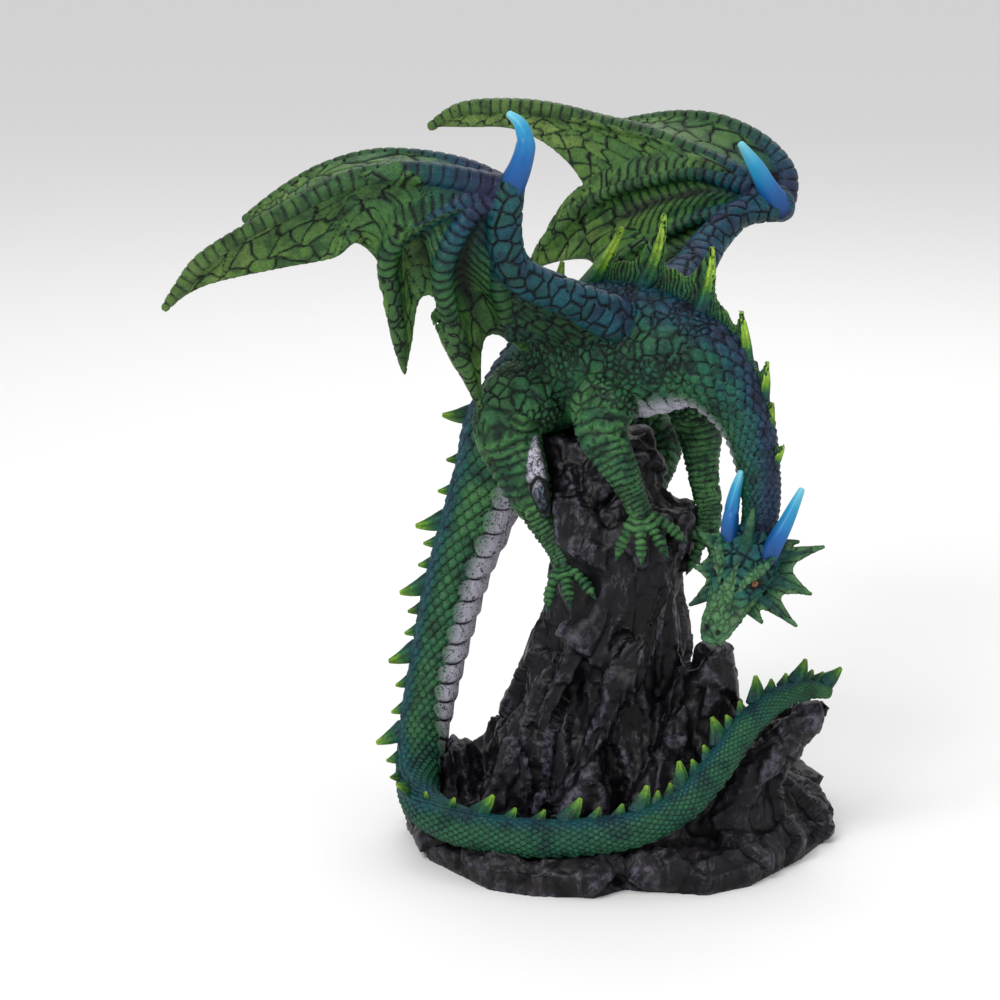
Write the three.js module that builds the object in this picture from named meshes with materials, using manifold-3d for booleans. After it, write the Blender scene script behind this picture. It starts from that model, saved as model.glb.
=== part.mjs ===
// A painted resin dragon perched on a crag, its tail wrapped round the front of the base. Millimetres, +Z up.
// +X is to the dragon's head side, -Y is the front of the base. The origin is the centre of the flat underside.
import * as THREE from "three";
import Module from "manifold-3d";

const wasm = await Module();
wasm.setup();

// Driving dimensions
const TRUNK_SIDES = 10;
const LIMB_SIDES = 6;
const FINGER_SIDES = 5;
const TOE_SIDES = 4;
const MEMBRANE = 2.6;
const END_ROUNDING = 0.6;
const CLEARANCE = 0.3;
const DRAGON_GREEN = "#2c7a45";
const ROCK_GREY = "#2b292d";

// Centre line from the nape to the tip of the tail: place, half width, half height and the way its back faces
const SPINE = [
  [50, -60, 136, 6.2, 6.5, 0.3, -0.95, 0.1],
  [52, -57, 152, 6.6, 7.2, 0.7, -0.7, 0],
  [49, -49, 172, 8, 9, 0.88, -0.4, 0.2],
  [43, -42, 186, 10.5, 12, 0.72, -0.25, 0.6],
  [31, -33, 198, 14, 17, 0.35, -0.1, 0.92],
  [11, -20, 200, 17.5, 24, 0.1, 0, 1],
  [-10, -2, 195, 18.5, 26, -0.05, 0, 1],
  [-27, 12, 181, 17, 19.5, -0.3, 0.1, 0.94],
  [-42, 19, 161, 14, 16, -0.85, 0.25, 0.42],
  [-48, 22, 141, 12.5, 14.2, -0.95, 0.2, 0.25],
  [-54, 23, 122, 12, 13.2, -0.97, 0.15, 0.2],
  [-60, 22, 105, 11, 11.8, -0.98, 0.15, 0.15],
  [-65, 20, 87, 10.4, 11.2, -0.98, 0.15, 0.1],
  [-69, 17, 69, 9.6, 10.2, -0.98, 0.15, 0.05],
  [-73, 11, 51, 9, 9.6, -0.98, 0.1, 0.05],
  [-75.5, 2, 37, 8.4, 9, -0.97, 0.05, 0.15],
  [-77, -10, 27, 7.7, 8, -0.88, -0.15, 0.4],
  [-75, -24, 22, 7.4, 7.7, -0.6, -0.15, 0.78],
  [-67, -38, 20, 7.1, 7.4, -0.25, 0, 0.97],
  [-52, -50, 19, 6.9, 7.2, -0.05, 0.15, 1],
  [-32, -60, 20, 6.7, 7, 0, 0.2, 1],
  [-12, -64, 22, 6.5, 6.8, 0, 0.2, 1],
  [7, -63, 25, 6.2, 6.5, -0.1, 0.2, 1],
  [23, -57, 31, 5.9, 6.2, -0.3, 0.2, 0.95],
  [34, -50, 40, 5.6, 5.9, -0.5, 0.2, 0.85],
  [43, -43, 50, 5.2, 5.5, -0.6, 0.2, 0.8],
  [51, -37, 59, 4.8, 5, -0.5, 0.2, 0.85],
  [62, -31, 66, 4.3, 4.5, -0.2, 0.2, 0.95],
  [73, -26, 68, 3.6, 3.8, 0, 0.2, 1],
  [81, -23, 66, 2.4, 2.6, 0.1, 0.2, 1],
];

// Round limbs and fingers: place and radius, from the body outwards
const NEAR_WING = {
  arm: [
    [3, -24, 210, 9],
    [-16, -36, 222, 7.2],
    [-37, -50, 235, 6.6],
    [-43, -56, 249, 6.4],
    [-42, -58, 270, 6.2],
  ],
  claw: [
    [-42, -58, 269, 5],
    [-37, -60, 279, 4],
    [-36, -60, 287, 3.1],
    [-38, -59, 293, 2],
    [-41, -58, 296, 0.9],
  ],
  fingers: [
    [
      [-45, -56, 270, 4.2],
      [-56, -52, 275, 3.4],
      [-72, -46, 278, 2.8],
      [-91, -42, 278, 2.6],
      [-109, -41, 273, 2.4],
      [-124, -43, 265, 2.2],
      [-138, -48, 255, 2],
    ],
    [
      [-45, -58, 269, 4.8],
      [-63, -62, 274, 3.9],
      [-81, -64, 275, 3.5],
      [-99, -64, 272, 3.2],
      [-117, -62, 264, 3],
      [-136, -56, 253, 2.9],
      [-154, -48, 240, 3],
      [-163, -42, 228, 2.7],
      [-169, -39, 220, 1.6],
    ],
    [
      [-45, -58, 268, 4.6],
      [-57, -60, 265, 4.4],
      [-70, -61, 259, 4.6],
      [-82, -60, 251, 4.8],
      [-86, -57, 241, 4.6],
      [-84, -53, 226, 4],
      [-82, -49, 210, 3.4],
      [-80, -46, 197, 1.2],
    ],
    [
      [-45, -58, 267, 4.6],
      [-55, -60, 260, 4.6],
      [-62, -61, 250, 5],
      [-66, -60, 238, 5],
      [-64, -55, 223, 4.4],
      [-60, -48, 208, 4],
      [-56, -42, 194, 3.2],
      [-52, -38, 182, 1.5],
    ],
    [
      [-43, -57, 268, 4.5],
      [-44, -54, 249, 4.5],
      [-45, -46, 230, 4],
      [-41, -34, 214, 4],
      [-36, -20, 202, 3],
    ],
  ],
  flank: [
    [-43, -34, 207, 3],
    [-22, -24, 204, 3],
    [-2, -22, 200, 3],
  ],
};

const FAR_WING = {
  arm: [
    [13, -6, 205, 10],
    [20, 10, 214, 9.5],
    [29, 26, 221, 8],
    [38, 42, 230, 6.5],
    [50, 54, 238, 5.6],
    [66, 62, 240, 7],
  ],
  claw: [
    [66, 60, 238, 5],
    [60, 56, 247, 4.2],
    [55, 54, 256, 3],
    [49, 54, 265, 1],
  ],
  fingers: [
    [
      [67, 66, 240, 5],
      [68, 74, 250, 4.4],
      [59, 84, 260, 3.8],
      [43, 93, 267, 3.2],
      [25, 99, 268, 2.8],
      [5, 101, 265, 2.4],
    ],
    [
      [66, 62, 240, 5],
      [50, 64, 250, 4.4],
      [33, 70, 258, 4],
      [14, 80, 264, 3.8],
      [-5, 92, 267, 3.6],
      [-25, 104, 270, 3.4],
      [-44, 114, 270, 3.2],
      [-61, 122, 267, 3],
      [-73, 128, 259, 2],
    ],
    [
      [65, 61, 239, 4.6],
      [50, 60, 247, 4],
      [33, 62, 252, 3.8],
      [16, 66, 249, 3.6],
      [-1, 72, 243, 3.6],
      [-16, 78, 232, 3.4],
      [-27, 83, 220, 3],
      [-33, 86, 208, 1.6],
    ],
    [
      [65, 60, 238, 4.6],
      [50, 56, 239, 4],
      [33, 54, 236, 3.6],
      [18, 54, 229, 3.3],
      [5, 55, 222, 3],
      [-4, 56, 212, 1.6],
    ],
    [
      [65, 60, 240, 4.5],
      [50, 54, 237, 4.5],
      [36, 42, 229, 4],
      [22, 28, 221, 4],
      [6, 18, 214, 3],
    ],
  ],
  flank: [
    [44, 44, 228, 3],
    [28, 24, 214, 3],
    [10, 8, 206, 3],
  ],
};

// Membranes from the first finger of each pair: the share of the second finger that it reaches, its hem between the
// two ends, and how deep it sags
const NEAR_MEMBRANES = [
  { until: 0.63, hem: [], sag: 1, bare: true },
  {
    until: 1,
    hem: [
      [-154, -42, 229],
      [-128, -48, 236],
      [-106, -53, 241],
      [-97, -55, 246],
      [-89, -54, 236],
      [-84, -50, 214],
    ],
    sag: 5,
  },
  {
    until: 1,
    hem: [
      [-77, -47, 209],
      [-74, -50, 225],
      [-66, -48, 216],
      [-60, -42, 197],
    ],
    sag: 6,
  },
  {
    until: 1,
    hem: [
      [-51, -37, 196],
      [-48, -34, 207],
      [-41, -28, 204],
    ],
    sag: 7,
    bare: true,
  },
];
const FAR_MEMBRANES = [
  { until: 0.45, hem: [], sag: 2, bare: true },
  {
    until: 1,
    hem: [
      [-57, 120, 260],
      [-40, 109, 261],
      [-23, 95, 254],
      [-12, 80, 241],
      [-22, 83, 230],
    ],
    sag: 5,
  },
  {
    until: 1,
    hem: [
      [-21, 80, 213],
      [-11, 70, 216],
    ],
    sag: 5,
  },
  { until: 1, hem: [[6, 45, 212]], sag: 5, bare: true },
];

// Legs, from the body to the ankle, with the way the foot points and the way it presses down
const LEGS = [
  {
    rows: [
      [-2, -20, 190, 8],
      [-5, -26, 182, 12.5],
      [-6, -32, 171, 9.5],
      [0, -36, 159, 6.8],
      [5, -37, 148, 4.8],
      [8, -38, 141, 4.6],
    ],
    ahead: [0.25, -0.75, -0.6],
    down: [0.1, 0.5, -0.85],
  },
  {
    rows: [
      [23, -14, 190, 9],
      [29, -5, 180, 12],
      [32, -2, 163, 8.4],
      [33, -3, 149, 6],
      [35, -5, 135, 5],
      [35, -7, 127, 4.8],
    ],
    ahead: [-0.1, -0.75, -0.65],
    down: [-0.3, 0.5, -0.8],
  },
  {
    rows: [
      [-27, 4, 184, 10],
      [-33, 0, 178, 15.5],
      [-41, -6, 167, 13.5],
      [-35, -11, 147, 9.5],
      [-27, -12, 131, 6.8],
      [-21, -14, 119, 5.2],
      [-19, -17, 111, 5],
    ],
    ahead: [0.5, -0.55, -0.65],
    down: [0.3, 0.6, -0.7],
  },
  {
    rows: [
      [-17, 28, 172, 15],
      [2, 30, 162, 11],
      [17, 28, 155, 9],
      [16, 24, 142, 7],
      [12, 18, 133, 4.8],
    ],
    ahead: [0.7, 0.2, -0.6],
    down: [-0.2, 0, -1],
  },
];

// Place of every value in whole rows of numbers, on a Catmull-Rom curve, for t from 0 to 1
function rowAt(rows, t) {
  const last = rows.length - 1;
  const place = THREE.MathUtils.clamp(t, 0, 1) * last;
  const i = Math.min(Math.floor(place), last - 1);
  const f = place - i;
  const row = (k) => rows[THREE.MathUtils.clamp(k, 0, last)];
  return rows[i].map((b, c) => {
    const [a, d, e] = [row(i - 1)[c], row(i + 1)[c], row(i + 2)[c]];
    return b + 0.5 * f * (d - a + f * (2 * a - 5 * b + 4 * d - e + f * (3 * b - a - 3 * d + e)));
  });
}

const vector = (row) => new THREE.Vector3(row[0], row[1], row[2]);
const pointAt = (rows, t) => vector(rowAt(rows, t));

function directionAt(rows, t) {
  const step = 0.25 / rows.length;
  return pointAt(rows, t + step).sub(pointAt(rows, t - step)).normalize();
}

function solidOf(points, triangles) {
  const vertProperties = new Float32Array(points.flatMap((p) => [p.x, p.y, p.z]));
  return new wasm.Manifold(new wasm.Mesh({ numProp: 3, vertProperties, triVerts: new Uint32Array(triangles) }));
}

const union = (solids) => solids.reduce((all, one) => all.add(one));

// The same casting with no sealed hollows, and without crumbs smaller than `least` cubic millimetres
const filled = (solid, least = 20) => union(solid.decompose().filter((body) => body.volume() > least));

// Closed solid through rings of points that run counter-clockwise seen from the end, each end closed at a point
function loft(rings, startPoint, endPoint) {
  const sides = rings[0].length;
  const points = [...rings.flat(), startPoint, endPoint];
  const start = points.length - 2;
  const end = points.length - 1;
  const triangles = [];
  for (let j = 0; j < sides; j++) {
    const k = (j + 1) % sides;
    for (let i = 0; i + 1 < rings.length; i++) {
      const low = i * sides;
      const high = low + sides;
      triangles.push(low + j, low + k, high + k, low + j, high + k, high + j);
    }
    const top = (rings.length - 1) * sides;
    triangles.push(start, k, j, end, top + j, top + k);
  }
  return solidOf(points, triangles);
}

// Solid swept along rows of place and radius, or of place, half width, half height and back direction.
// `grow` swells it, and `round` shapes the section by its angle and by how far along it is.
function sweep(rows, { sides = LIMB_SIDES, rings = 12, grow = 0, back = [0.1, 0.3, 1], round = () => 1 } = {}) {
  const made = [];
  for (let i = 0; i <= rings; i++) {
    const t = i / rings;
    const row = rowAt(rows, t);
    const ahead = directionAt(rows, t);
    const facing = new THREE.Vector3(...(row.length > 5 ? row.slice(5) : back));
    const side = facing.cross(ahead).normalize();
    const up = ahead.clone().cross(side);
    const wide = row[3] + grow;
    const high = (row[4] ?? row[3]) + grow;
    const ring = [];
    for (let j = 0; j < sides; j++) {
      const angle = (2 * Math.PI * j) / sides;
      const swell = round(angle, t);
      ring.push(
        vector(row)
          .addScaledVector(side, Math.cos(angle) * wide * swell)
          .addScaledVector(up, Math.sin(angle) * high * swell),
      );
    }
    made.push(ring);
  }
  const startRow = rowAt(rows, 0);
  const endRow = rowAt(rows, 1);
  const startPoint = vector(startRow).addScaledVector(directionAt(rows, 0), -END_ROUNDING * startRow[3] - grow);
  const endPoint = vector(endRow).addScaledVector(directionAt(rows, 1), END_ROUNDING * endRow[3] + grow);
  return loft(made, startPoint, endPoint);
}

// Four-sided spike on a base that lies `along` a line, with its tip leaning where it is put
function spike(base, tip, along, { halfLong, halfThick, grow }) {
  const reach = tip.clone().sub(base);
  const top = tip.clone().addScaledVector(reach.clone().normalize(), 2 * grow);
  const wide = halfLong + grow;
  const thick = halfThick + grow;
  const across = reach.clone().cross(along).normalize();
  const run = across.clone().cross(reach).normalize();
  const ring = [
    base.clone().addScaledVector(run, wide),
    base.clone().addScaledVector(across, -thick),
    base.clone().addScaledVector(run, -wide),
    base.clone().addScaledVector(across, thick),
  ];
  const turned = ring[1].clone().sub(ring[0]).cross(ring[2].clone().sub(ring[1])).dot(reach) > 0;
  return loft([turned ? ring : ring.reverse()], base.clone().addScaledVector(reach, -0.05), top);
}

// Columns of a wing between two fingers and its hem, from the first finger to the second. Each place has the middle
// of the skin and its half thickness, which swells to the fingers' own, or only to the first one's where `bare` is set.
function skinColumns(first, second, { until, hem, sag, bare = false }, along) {
  const root = 0.14;
  const thin = MEMBRANE / 2;
  const onFirst = (t) => rowAt(first, root + (1 - root) * t);
  const onSecond = (t) => rowAt(second, (root + (1 - root) * t) * until);
  const [rootA, rootB, endA, endB] = [onFirst(0), onSecond(0), onFirst(1), onSecond(1)].map(vector);
  const hemRows = [endA.toArray(), ...hem, endB.toArray()];
  const flat = (w, t) => {
    const betweenFingers = vector(onFirst(t)).lerp(vector(onSecond(t)), w);
    const betweenEnds = rootA.clone().lerp(rootB, w).lerp(pointAt(hemRows, w), t);
    const straight = rootA.clone().lerp(rootB, w).lerp(endA.clone().lerp(endB, w), t);
    return betweenFingers.add(betweenEnds).sub(straight);
  };
  const across = Math.max(hem.length + 1, 3);
  const columns = [];
  for (let i = 0; i <= across; i++) {
    const w = i / across;
    const column = [];
    for (let j = 0; j <= along; j++) {
      const t = j / along;
      const overW = flat(Math.min(w + 0.1, 1), t).sub(flat(Math.max(w - 0.1, 0), t));
      const overT = flat(w, Math.min(t + 0.1, 1)).sub(flat(w, Math.max(t - 0.1, 0)));
      const depth = sag * 4 * w * (1 - w) * Math.sin(Math.PI * (0.1 + 0.75 * t));
      const point = flat(w, t).addScaledVector(overW.cross(overT).normalize(), depth);
      const bone = i === 0 ? onFirst(t)[3] : onSecond(t)[3];
      column.push({ point, half: i === 0 || (i === across && !bare) ? bone : thin });
    }
    columns.push(column);
  }
  return columns;
}

// Rounded outer edge, one finger's radius outside the first column
function leadingColumn([edge, inner]) {
  return edge.map(({ point, half }, j) => {
    const outward = point.clone().sub(inner[j].point).normalize();
    return { point: point.clone().addScaledVector(outward, half), half: 0.35 * half };
  });
}

// Closed solid about columns of middle points with half thicknesses
function skin(columns, grow) {
  const across = columns.length - 1;
  const along = columns[0].length - 1;
  const middle = (i, j) =>
    columns[THREE.MathUtils.clamp(i, 0, across)][THREE.MathUtils.clamp(j, 0, along)].point.clone();
  const sides = [[], []];
  columns.forEach((column, i) =>
    column.forEach(({ point, half }, j) => {
      const overW = middle(i + 1, j).sub(middle(i - 1, j));
      const normal = overW.cross(middle(i, j + 1).sub(middle(i, j - 1))).normalize();
      sides[0].push(point.clone().addScaledVector(normal, half + grow));
      sides[1].push(point.clone().addScaledVector(normal, -half - grow));
    }),
  );
  const at = (i, j) => i * (along + 1) + j;
  const under = sides[0].length;
  const triangles = [];
  for (let i = 0; i < across; i++) {
    for (let j = 0; j < along; j++) {
      const [a, b, c, d] = [at(i, j), at(i + 1, j), at(i + 1, j + 1), at(i, j + 1)];
      triangles.push(a, b, c, a, c, d, under + a, under + c, under + b, under + a, under + d, under + c);
    }
  }
  const rim = [];
  for (let i = 0; i < across; i++) rim.push(at(i, 0));
  for (let j = 0; j < along; j++) rim.push(at(across, j));
  for (let i = across; i > 0; i--) rim.push(at(i, along));
  for (let j = along; j > 0; j--) rim.push(at(0, j));
  rim.forEach((p, n) => {
    const q = rim[(n + 1) % rim.length];
    triangles.push(under + p, under + q, q, under + p, q, p);
  });
  return solidOf(sides.flat(), triangles);
}

// Wing of an arm with its thumb claw, a small skin in front of the first finger, and one behind it that runs over
// the other fingers to the body
function wing({ arm, claw, fingers, flank }, [front, ...behind], grow) {
  const frontColumns = skinColumns(fingers[0], fingers[1], front, 4);
  const columns = behind.map((shape, n) => skinColumns(fingers[n + 1], fingers[n + 2], shape, 5));
  const backColumns = columns.flatMap((some, n) => (n ? some.slice(1) : some));
  const flankColumns = skinColumns(arm.slice(0, 4), flank.toReversed(), { until: 1, hem: [], sag: 0 }, 3);
  return union([
    sweep(arm, { rings: 9, grow }),
    sweep(claw, { sides: FINGER_SIDES, rings: 6, grow }),
    skin([leadingColumn(frontColumns), ...frontColumns], grow),
    skin([leadingColumn(backColumns), ...backColumns], grow),
    skin(flankColumns, grow),
    ...fingers.slice(0, 4).map((finger) => sweep(finger.slice(0, 3), { sides: FINGER_SIDES, rings: 2, grow })),
  ]);
}

// Where the body's back is, and the way it faces, at a share of the centre line's length
function backAt(t, outward = 1) {
  const row = rowAt(SPINE, t);
  const ahead = directionAt(SPINE, t);
  const up = new THREE.Vector3(row[5], row[6], row[7]);
  up.addScaledVector(ahead, -up.dot(ahead)).normalize();
  return { point: vector(row).addScaledVector(up, row[4] * outward), up, ahead, side: up.clone().cross(ahead) };
}

// Share of the centre line at which each row of SPINE stands
const atRow = (row) => row / (SPINE.length - 1);

// Spines down the tail, leaning towards its tip: rows of the centre line where the large ones stand, with small
// ones between them
const LARGE_SPINES = [8.1, 10.2, 11.6, 13, 14.7, 16.8, 18.9, 20.6, 22.1, 23.3, 24.9, 26.4, 27.8];
const SMALL_SPINES = [0.36, 0.68];
const TAIL_SPINE = { large: 9, small: 4.2, lean: 0.8, halfThick: 1.8, root: 0.78, taper: 0.25, width: 0.4, foot: 2 };

function tailSpines(grow) {
  const made = [];
  const stand = (row, size) => {
    const t = atRow(row);
    const { up, ahead, point } = backAt(t, TAIL_SPINE.root);
    const height = size * (1 - TAIL_SPINE.taper * t);
    const lean = height * TAIL_SPINE.lean;
    const tip = backAt(t).point.addScaledVector(up, height).addScaledVector(ahead, lean);
    const halfLong = TAIL_SPINE.width * height + TAIL_SPINE.foot;
    made.push(spike(point, tip, ahead, { halfLong, halfThick: TAIL_SPINE.halfThick, grow }));
  };
  LARGE_SPINES.forEach((row, n) => {
    stand(row, TAIL_SPINE.large);
    const next = LARGE_SPINES[n + 1];
    if (next) for (const f of SMALL_SPINES) stand(THREE.MathUtils.lerp(row, next, f), TAIL_SPINE.small);
  });
  return made;
}

// Tall spines of the mane, from the back to the neck: row of the centre line and tip
const MANE = [
  [6.9, [-2, 0, 226]],
  [6.1, [1, -8, 244]],
  [5.2, [16.5, -18, 251]],
  [4.3, [34, -28, 241]],
  [3.3, [44.5, -38, 219]],
  [2.6, [54, -46, 201.5]],
  [2.05, [56, -50, 187]],
  [1.5, [60, -56, 172]],
];
const MANE_WEB = [
  { place: 0.3, reach: 0.57 },
  { place: 0.65, reach: 0.5 },
];
const MANE_FIN = { root: 0.6, foot: 1, edge: 0.8, spine: 2.4, web: 1 };

function mane(grow) {
  const tips = MANE.map(([row, tip]) => ({ t: atRow(row), tip: new THREE.Vector3(...tip) }));
  const rings = [];
  const cut = (t, tip, share, thick) => {
    const { point, side } = backAt(t, MANE_FIN.root);
    const foot = thick + MANE_FIN.foot + grow;
    const edge = MANE_FIN.edge + grow;
    const top = point.clone().lerp(tip, share);
    return [
      point.clone().addScaledVector(side, foot),
      point.clone().addScaledVector(side, -foot),
      top.clone().addScaledVector(side, -edge),
      top.clone().addScaledVector(side, edge),
    ];
  };
  tips.forEach(({ t, tip }, n) => {
    rings.push(cut(t, tip, 1, MANE_FIN.spine));
    const next = tips[n + 1];
    if (!next) return;
    for (const { place, reach } of MANE_WEB) {
      const middle = THREE.MathUtils.lerp(t, next.t, place);
      rings.push(cut(middle, tip.clone().lerp(next.tip, place), reach, MANE_FIN.web));
    }
  });
  const middleOf = (ring) => ring[0].clone().add(ring[2]).multiplyScalar(0.5);
  return [loft(rings, middleOf(rings[0]), middleOf(rings.at(-1)))];
}

const BACK_LEAVES = [
  [6.7, [-21, 12, 227]],
  [6.3, [-8, 6, 228]],
];
const BACK_LEAF = { halfLong: 9, halfThick: 3.5 };

// Head frame: from the nape to the snout, the side on the viewer's right, and up out of the crown
const HEAD = {
  nape: new THREE.Vector3(50, -60, 137),
  ahead: new THREE.Vector3(-0.42, -0.28, -0.86).normalize(),
  side: new THREE.Vector3(0.878, -0.377, -0.289),
};
HEAD.crown = HEAD.ahead.clone().cross(HEAD.side).normalize();
HEAD.side = HEAD.crown.clone().cross(HEAD.ahead).normalize();

const headPoint = (d, s, h) =>
  HEAD.nape
    .clone()
    .addScaledVector(HEAD.ahead, d)
    .addScaledVector(HEAD.side, s)
    .addScaledVector(HEAD.crown, h);

const headRows = (rows) => rows.map(([d, s, h, ...sizes]) => [...headPoint(d, s, h).toArray(), ...sizes]);

// Distance ahead of the nape, sideways and up out of the crown, with the radius
const HORNS = [
  [
    [5, 8, 4, 4.2],
    [-2, 9, 7.5, 3.8],
    [-12, 10, 9, 2.8],
    [-23, 10, 9, 1.1],
  ],
  [
    [6, -7.5, 4, 4.2],
    [-1, -9.5, 7.5, 3.7],
    [-10, -12, 9, 2.7],
    [-19.5, -13.5, 9, 1.1],
  ],
  [
    [6, 0, 7, 3],
    [-2, -1.5, 10.5, 2.6],
    [-8, -3, 12, 1],
  ],
];

function head(grow) {
  const skull = headRows([
    [-5, 0, -1, 6.5, 6.5],
    [2, 0, 0, 10.5, 8.5],
    [9, 0, 0.5, 13, 10],
    [16, 0, 0.5, 11.5, 9.5],
    [23, 0, -0.5, 8.6, 7.8],
    [30, 0, -1.2, 7.2, 6.4],
    [36, 0, -1.6, 6.6, 5.4],
    [40.5, 0, -2, 4.6, 3.6],
  ]).map((row) => [...row, ...HEAD.crown.toArray()]);
  const brows = (angle, t) => 1 + 0.1 * Math.max(0, Math.cos(4 * (angle - Math.PI / 4))) * Math.sin(Math.PI * t);
  const parts = [sweep(skull, { sides: 10, rings: 9, grow, round: brows })];
  for (const s of [-1, 1]) {
    const brow = headRows([
      [5, 11 * s, 8.5, 2.2],
      [12, 8.5 * s, 9.6, 2.4],
      [19, 5.5 * s, 8, 1.6],
    ]);
    const muzzleRidge = headRows([
      [14, 1.8 * s, 9, 1.4],
      [24, 2.4 * s, 6.8, 1.6],
      [36, 3.4 * s, 3.2, 1.6],
    ]);
    parts.push(
      sweep(brow, { sides: TOE_SIDES, rings: 3, grow }),
      sweep(muzzleRidge, { sides: TOE_SIDES, rings: 3, grow }),
    );
  }
  for (const rows of HORNS) parts.push(sweep(headRows(rows), { sides: FINGER_SIDES, rings: 5, grow }));
  for (const cheek of FRILLS) parts.push(frill(cheek, grow));
  return parts;
}

// Cheek frills: webbed fans of spines from the crown round to the jaw, each spine by its root and its tip
const FRILLS = [
  {
    side: 1,
    spines: [
      { root: [1, 3, 3], tip: [-6, 14.5, -3] },
      { root: [4, 6, 0], tip: [-8, 24, -3] },
      { root: [11, 6, -2], tip: [10, 27, -3] },
      { root: [17, 4, -3], tip: [23, 27, -3] },
      { root: [22, 1, -4], tip: [27, 14.5, -4] },
    ],
  },
  {
    side: -1,
    spines: [
      { root: [2, -3, 2], tip: [-3, -15, -8] },
      { root: [6, -6, 0], tip: [6, -22, -6] },
      { root: [12, -6, -2], tip: [18.5, -18, -6] },
      { root: [20, -4, -3], tip: [32, -14, -6] },
    ],
  },
];
const FRILL_WEB = { reach: 0.55, spineReach: 0.96 };
const FRILL_SPINE = { halfLong: 2.6, halfThick: 1.9 };

function frill({ side, spines }, grow) {
  const roots = spines.map(({ root }) => headPoint(...root));
  const tips = spines.map(({ tip }) => headPoint(...tip));
  const thick = HEAD.crown.clone().multiplyScalar(1 + grow);
  const cut = (root, tip, share) => {
    const top = root.clone().lerp(tip, share);
    const ring = [root.clone().sub(thick), top.clone().sub(thick), top.clone().add(thick), root.clone().add(thick)];
    return side > 0 ? ring : ring.reverse();
  };
  const rings = [];
  roots.forEach((root, n) => {
    rings.push(cut(root, tips[n], FRILL_WEB.spineReach));
    if (n + 1 < roots.length) {
      rings.push(cut(root.clone().lerp(roots[n + 1], 0.5), tips[n].clone().lerp(tips[n + 1], 0.5), FRILL_WEB.reach));
    }
  });
  const middleOf = (ring) => ring[0].clone().add(ring[2]).multiplyScalar(0.5);
  const web = loft(rings, middleOf(rings[0]), middleOf(rings.at(-1)));
  return union([web, ...roots.map((root, n) => spike(root, tips[n], HEAD.ahead, { ...FRILL_SPINE, grow }))]);
}

// Foot of four gripping toes, each bending down to a claw, and a shorter one behind
const TOES = [-0.85, -0.28, 0.28, 0.85];
const TOE = {
  radius: 2.7,
  joints: [
    { reach: 0, drop: 0, share: 1.2 },
    { reach: 7, drop: 0.5, share: 1 },
    { reach: 14, drop: 3.5, share: 0.8 },
    { reach: 19, drop: 9, share: 0.26 },
  ],
};
const HEEL_TOE = 0.6;
const FOOT_TILT = 0.6;

function foot({ rows, ahead, down }, grow) {
  const ankle = vector(rows.at(-1));
  const press = new THREE.Vector3(...down).normalize();
  const front = new THREE.Vector3(...ahead).normalize();
  front.addScaledVector(press, -FOOT_TILT * front.dot(press)).normalize();
  const side = press.clone().cross(front).normalize();
  const toe = (turn, size) => {
    const way = front.clone().multiplyScalar(Math.cos(turn)).addScaledVector(side, Math.sin(turn));
    const joints = TOE.joints.map(({ reach, drop, share }) => {
      const place = ankle.clone().addScaledVector(way, reach * size).addScaledVector(press, drop * size);
      return [...place.toArray(), TOE.radius * share * size];
    });
    return sweep(joints, { sides: TOE_SIDES, rings: 2, grow, back: press.clone().negate().toArray() });
  };
  return [...TOES.map((turn) => toe(turn, 1)), toe(Math.PI, HEEL_TOE)];
}

function dragonSolid(grow = 0) {
  const keel = (angle) => 1 + 0.09 * Math.max(0, Math.cos(4 * (angle - Math.PI / 2)) - 0.5);
  const parts = [sweep(SPINE, { sides: TRUNK_SIDES, rings: 48, grow, round: keel })];
  parts.push(wing(NEAR_WING, NEAR_MEMBRANES, grow), wing(FAR_WING, FAR_MEMBRANES, grow));
  for (const leg of LEGS) parts.push(sweep(leg.rows, { rings: 8, grow }), ...foot(leg, grow));
  for (const [row, tip] of BACK_LEAVES) {
    const { point, ahead } = backAt(atRow(row), 0.8);
    parts.push(spike(point, new THREE.Vector3(...tip), ahead, { ...BACK_LEAF, grow }));
  }
  parts.push(...tailSpines(grow), ...mane(grow), ...head(grow));
  return filled(union(parts));
}

// The crag: faceted rocks, each a stack of uneven rings
function unevenness(seed) {
  const wave = Math.sin(seed * 12.9898) * 43758.5453;
  return wave - Math.floor(wave) - 0.5;
}

// Rock through rows of place, half width and half depth, with `sides` flat faces, roughened by `rough` millimetres
function crag(rows, { sides = 9, rough = 2, seed = 1, turn = 0 } = {}) {
  const rings = rows.map((row, i) => {
    const ring = [];
    for (let j = 0; j < sides; j++) {
      const angle = turn + (2 * Math.PI * (j + 0.35 * unevenness(seed + 7 * j))) / sides;
      const shift = i === 0 ? 0 : rough * 2 * unevenness(seed + 31 * i + 17 * j);
      ring.push(
        new THREE.Vector3(
          row[0] + Math.cos(angle) * (row[3] + shift),
          row[1] + Math.sin(angle) * (row[4] + shift),
          row[2] + (i === 0 ? 0 : 0.6 * rough * unevenness(seed + 3 * i + 5 * j)),
        ),
      );
    }
    return ring;
  });
  return loft(rings, vector(rows[0]), vector(rows.at(-1)));
}

// Outline of the slab's underside, counter-clockwise seen from above
const SLAB = [
  [-82, 8],
  [-72, -30],
  [-49, -63],
  [-32, -70],
  [-9, -72],
  [2, -63],
  [33, -69],
  [50, -59],
  [72, -28],
  [82, -8],
  [83, 22],
  [78, 42],
  [60, 58],
  [30, 66],
  [-8, 64],
  [-46, 58],
  [-70, 40],
];
const SLAB_LEVELS = [
  { height: 0, share: 1 },
  { height: 9, share: 1.03 },
  { height: 15.5, share: 0.95 },
];

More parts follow.
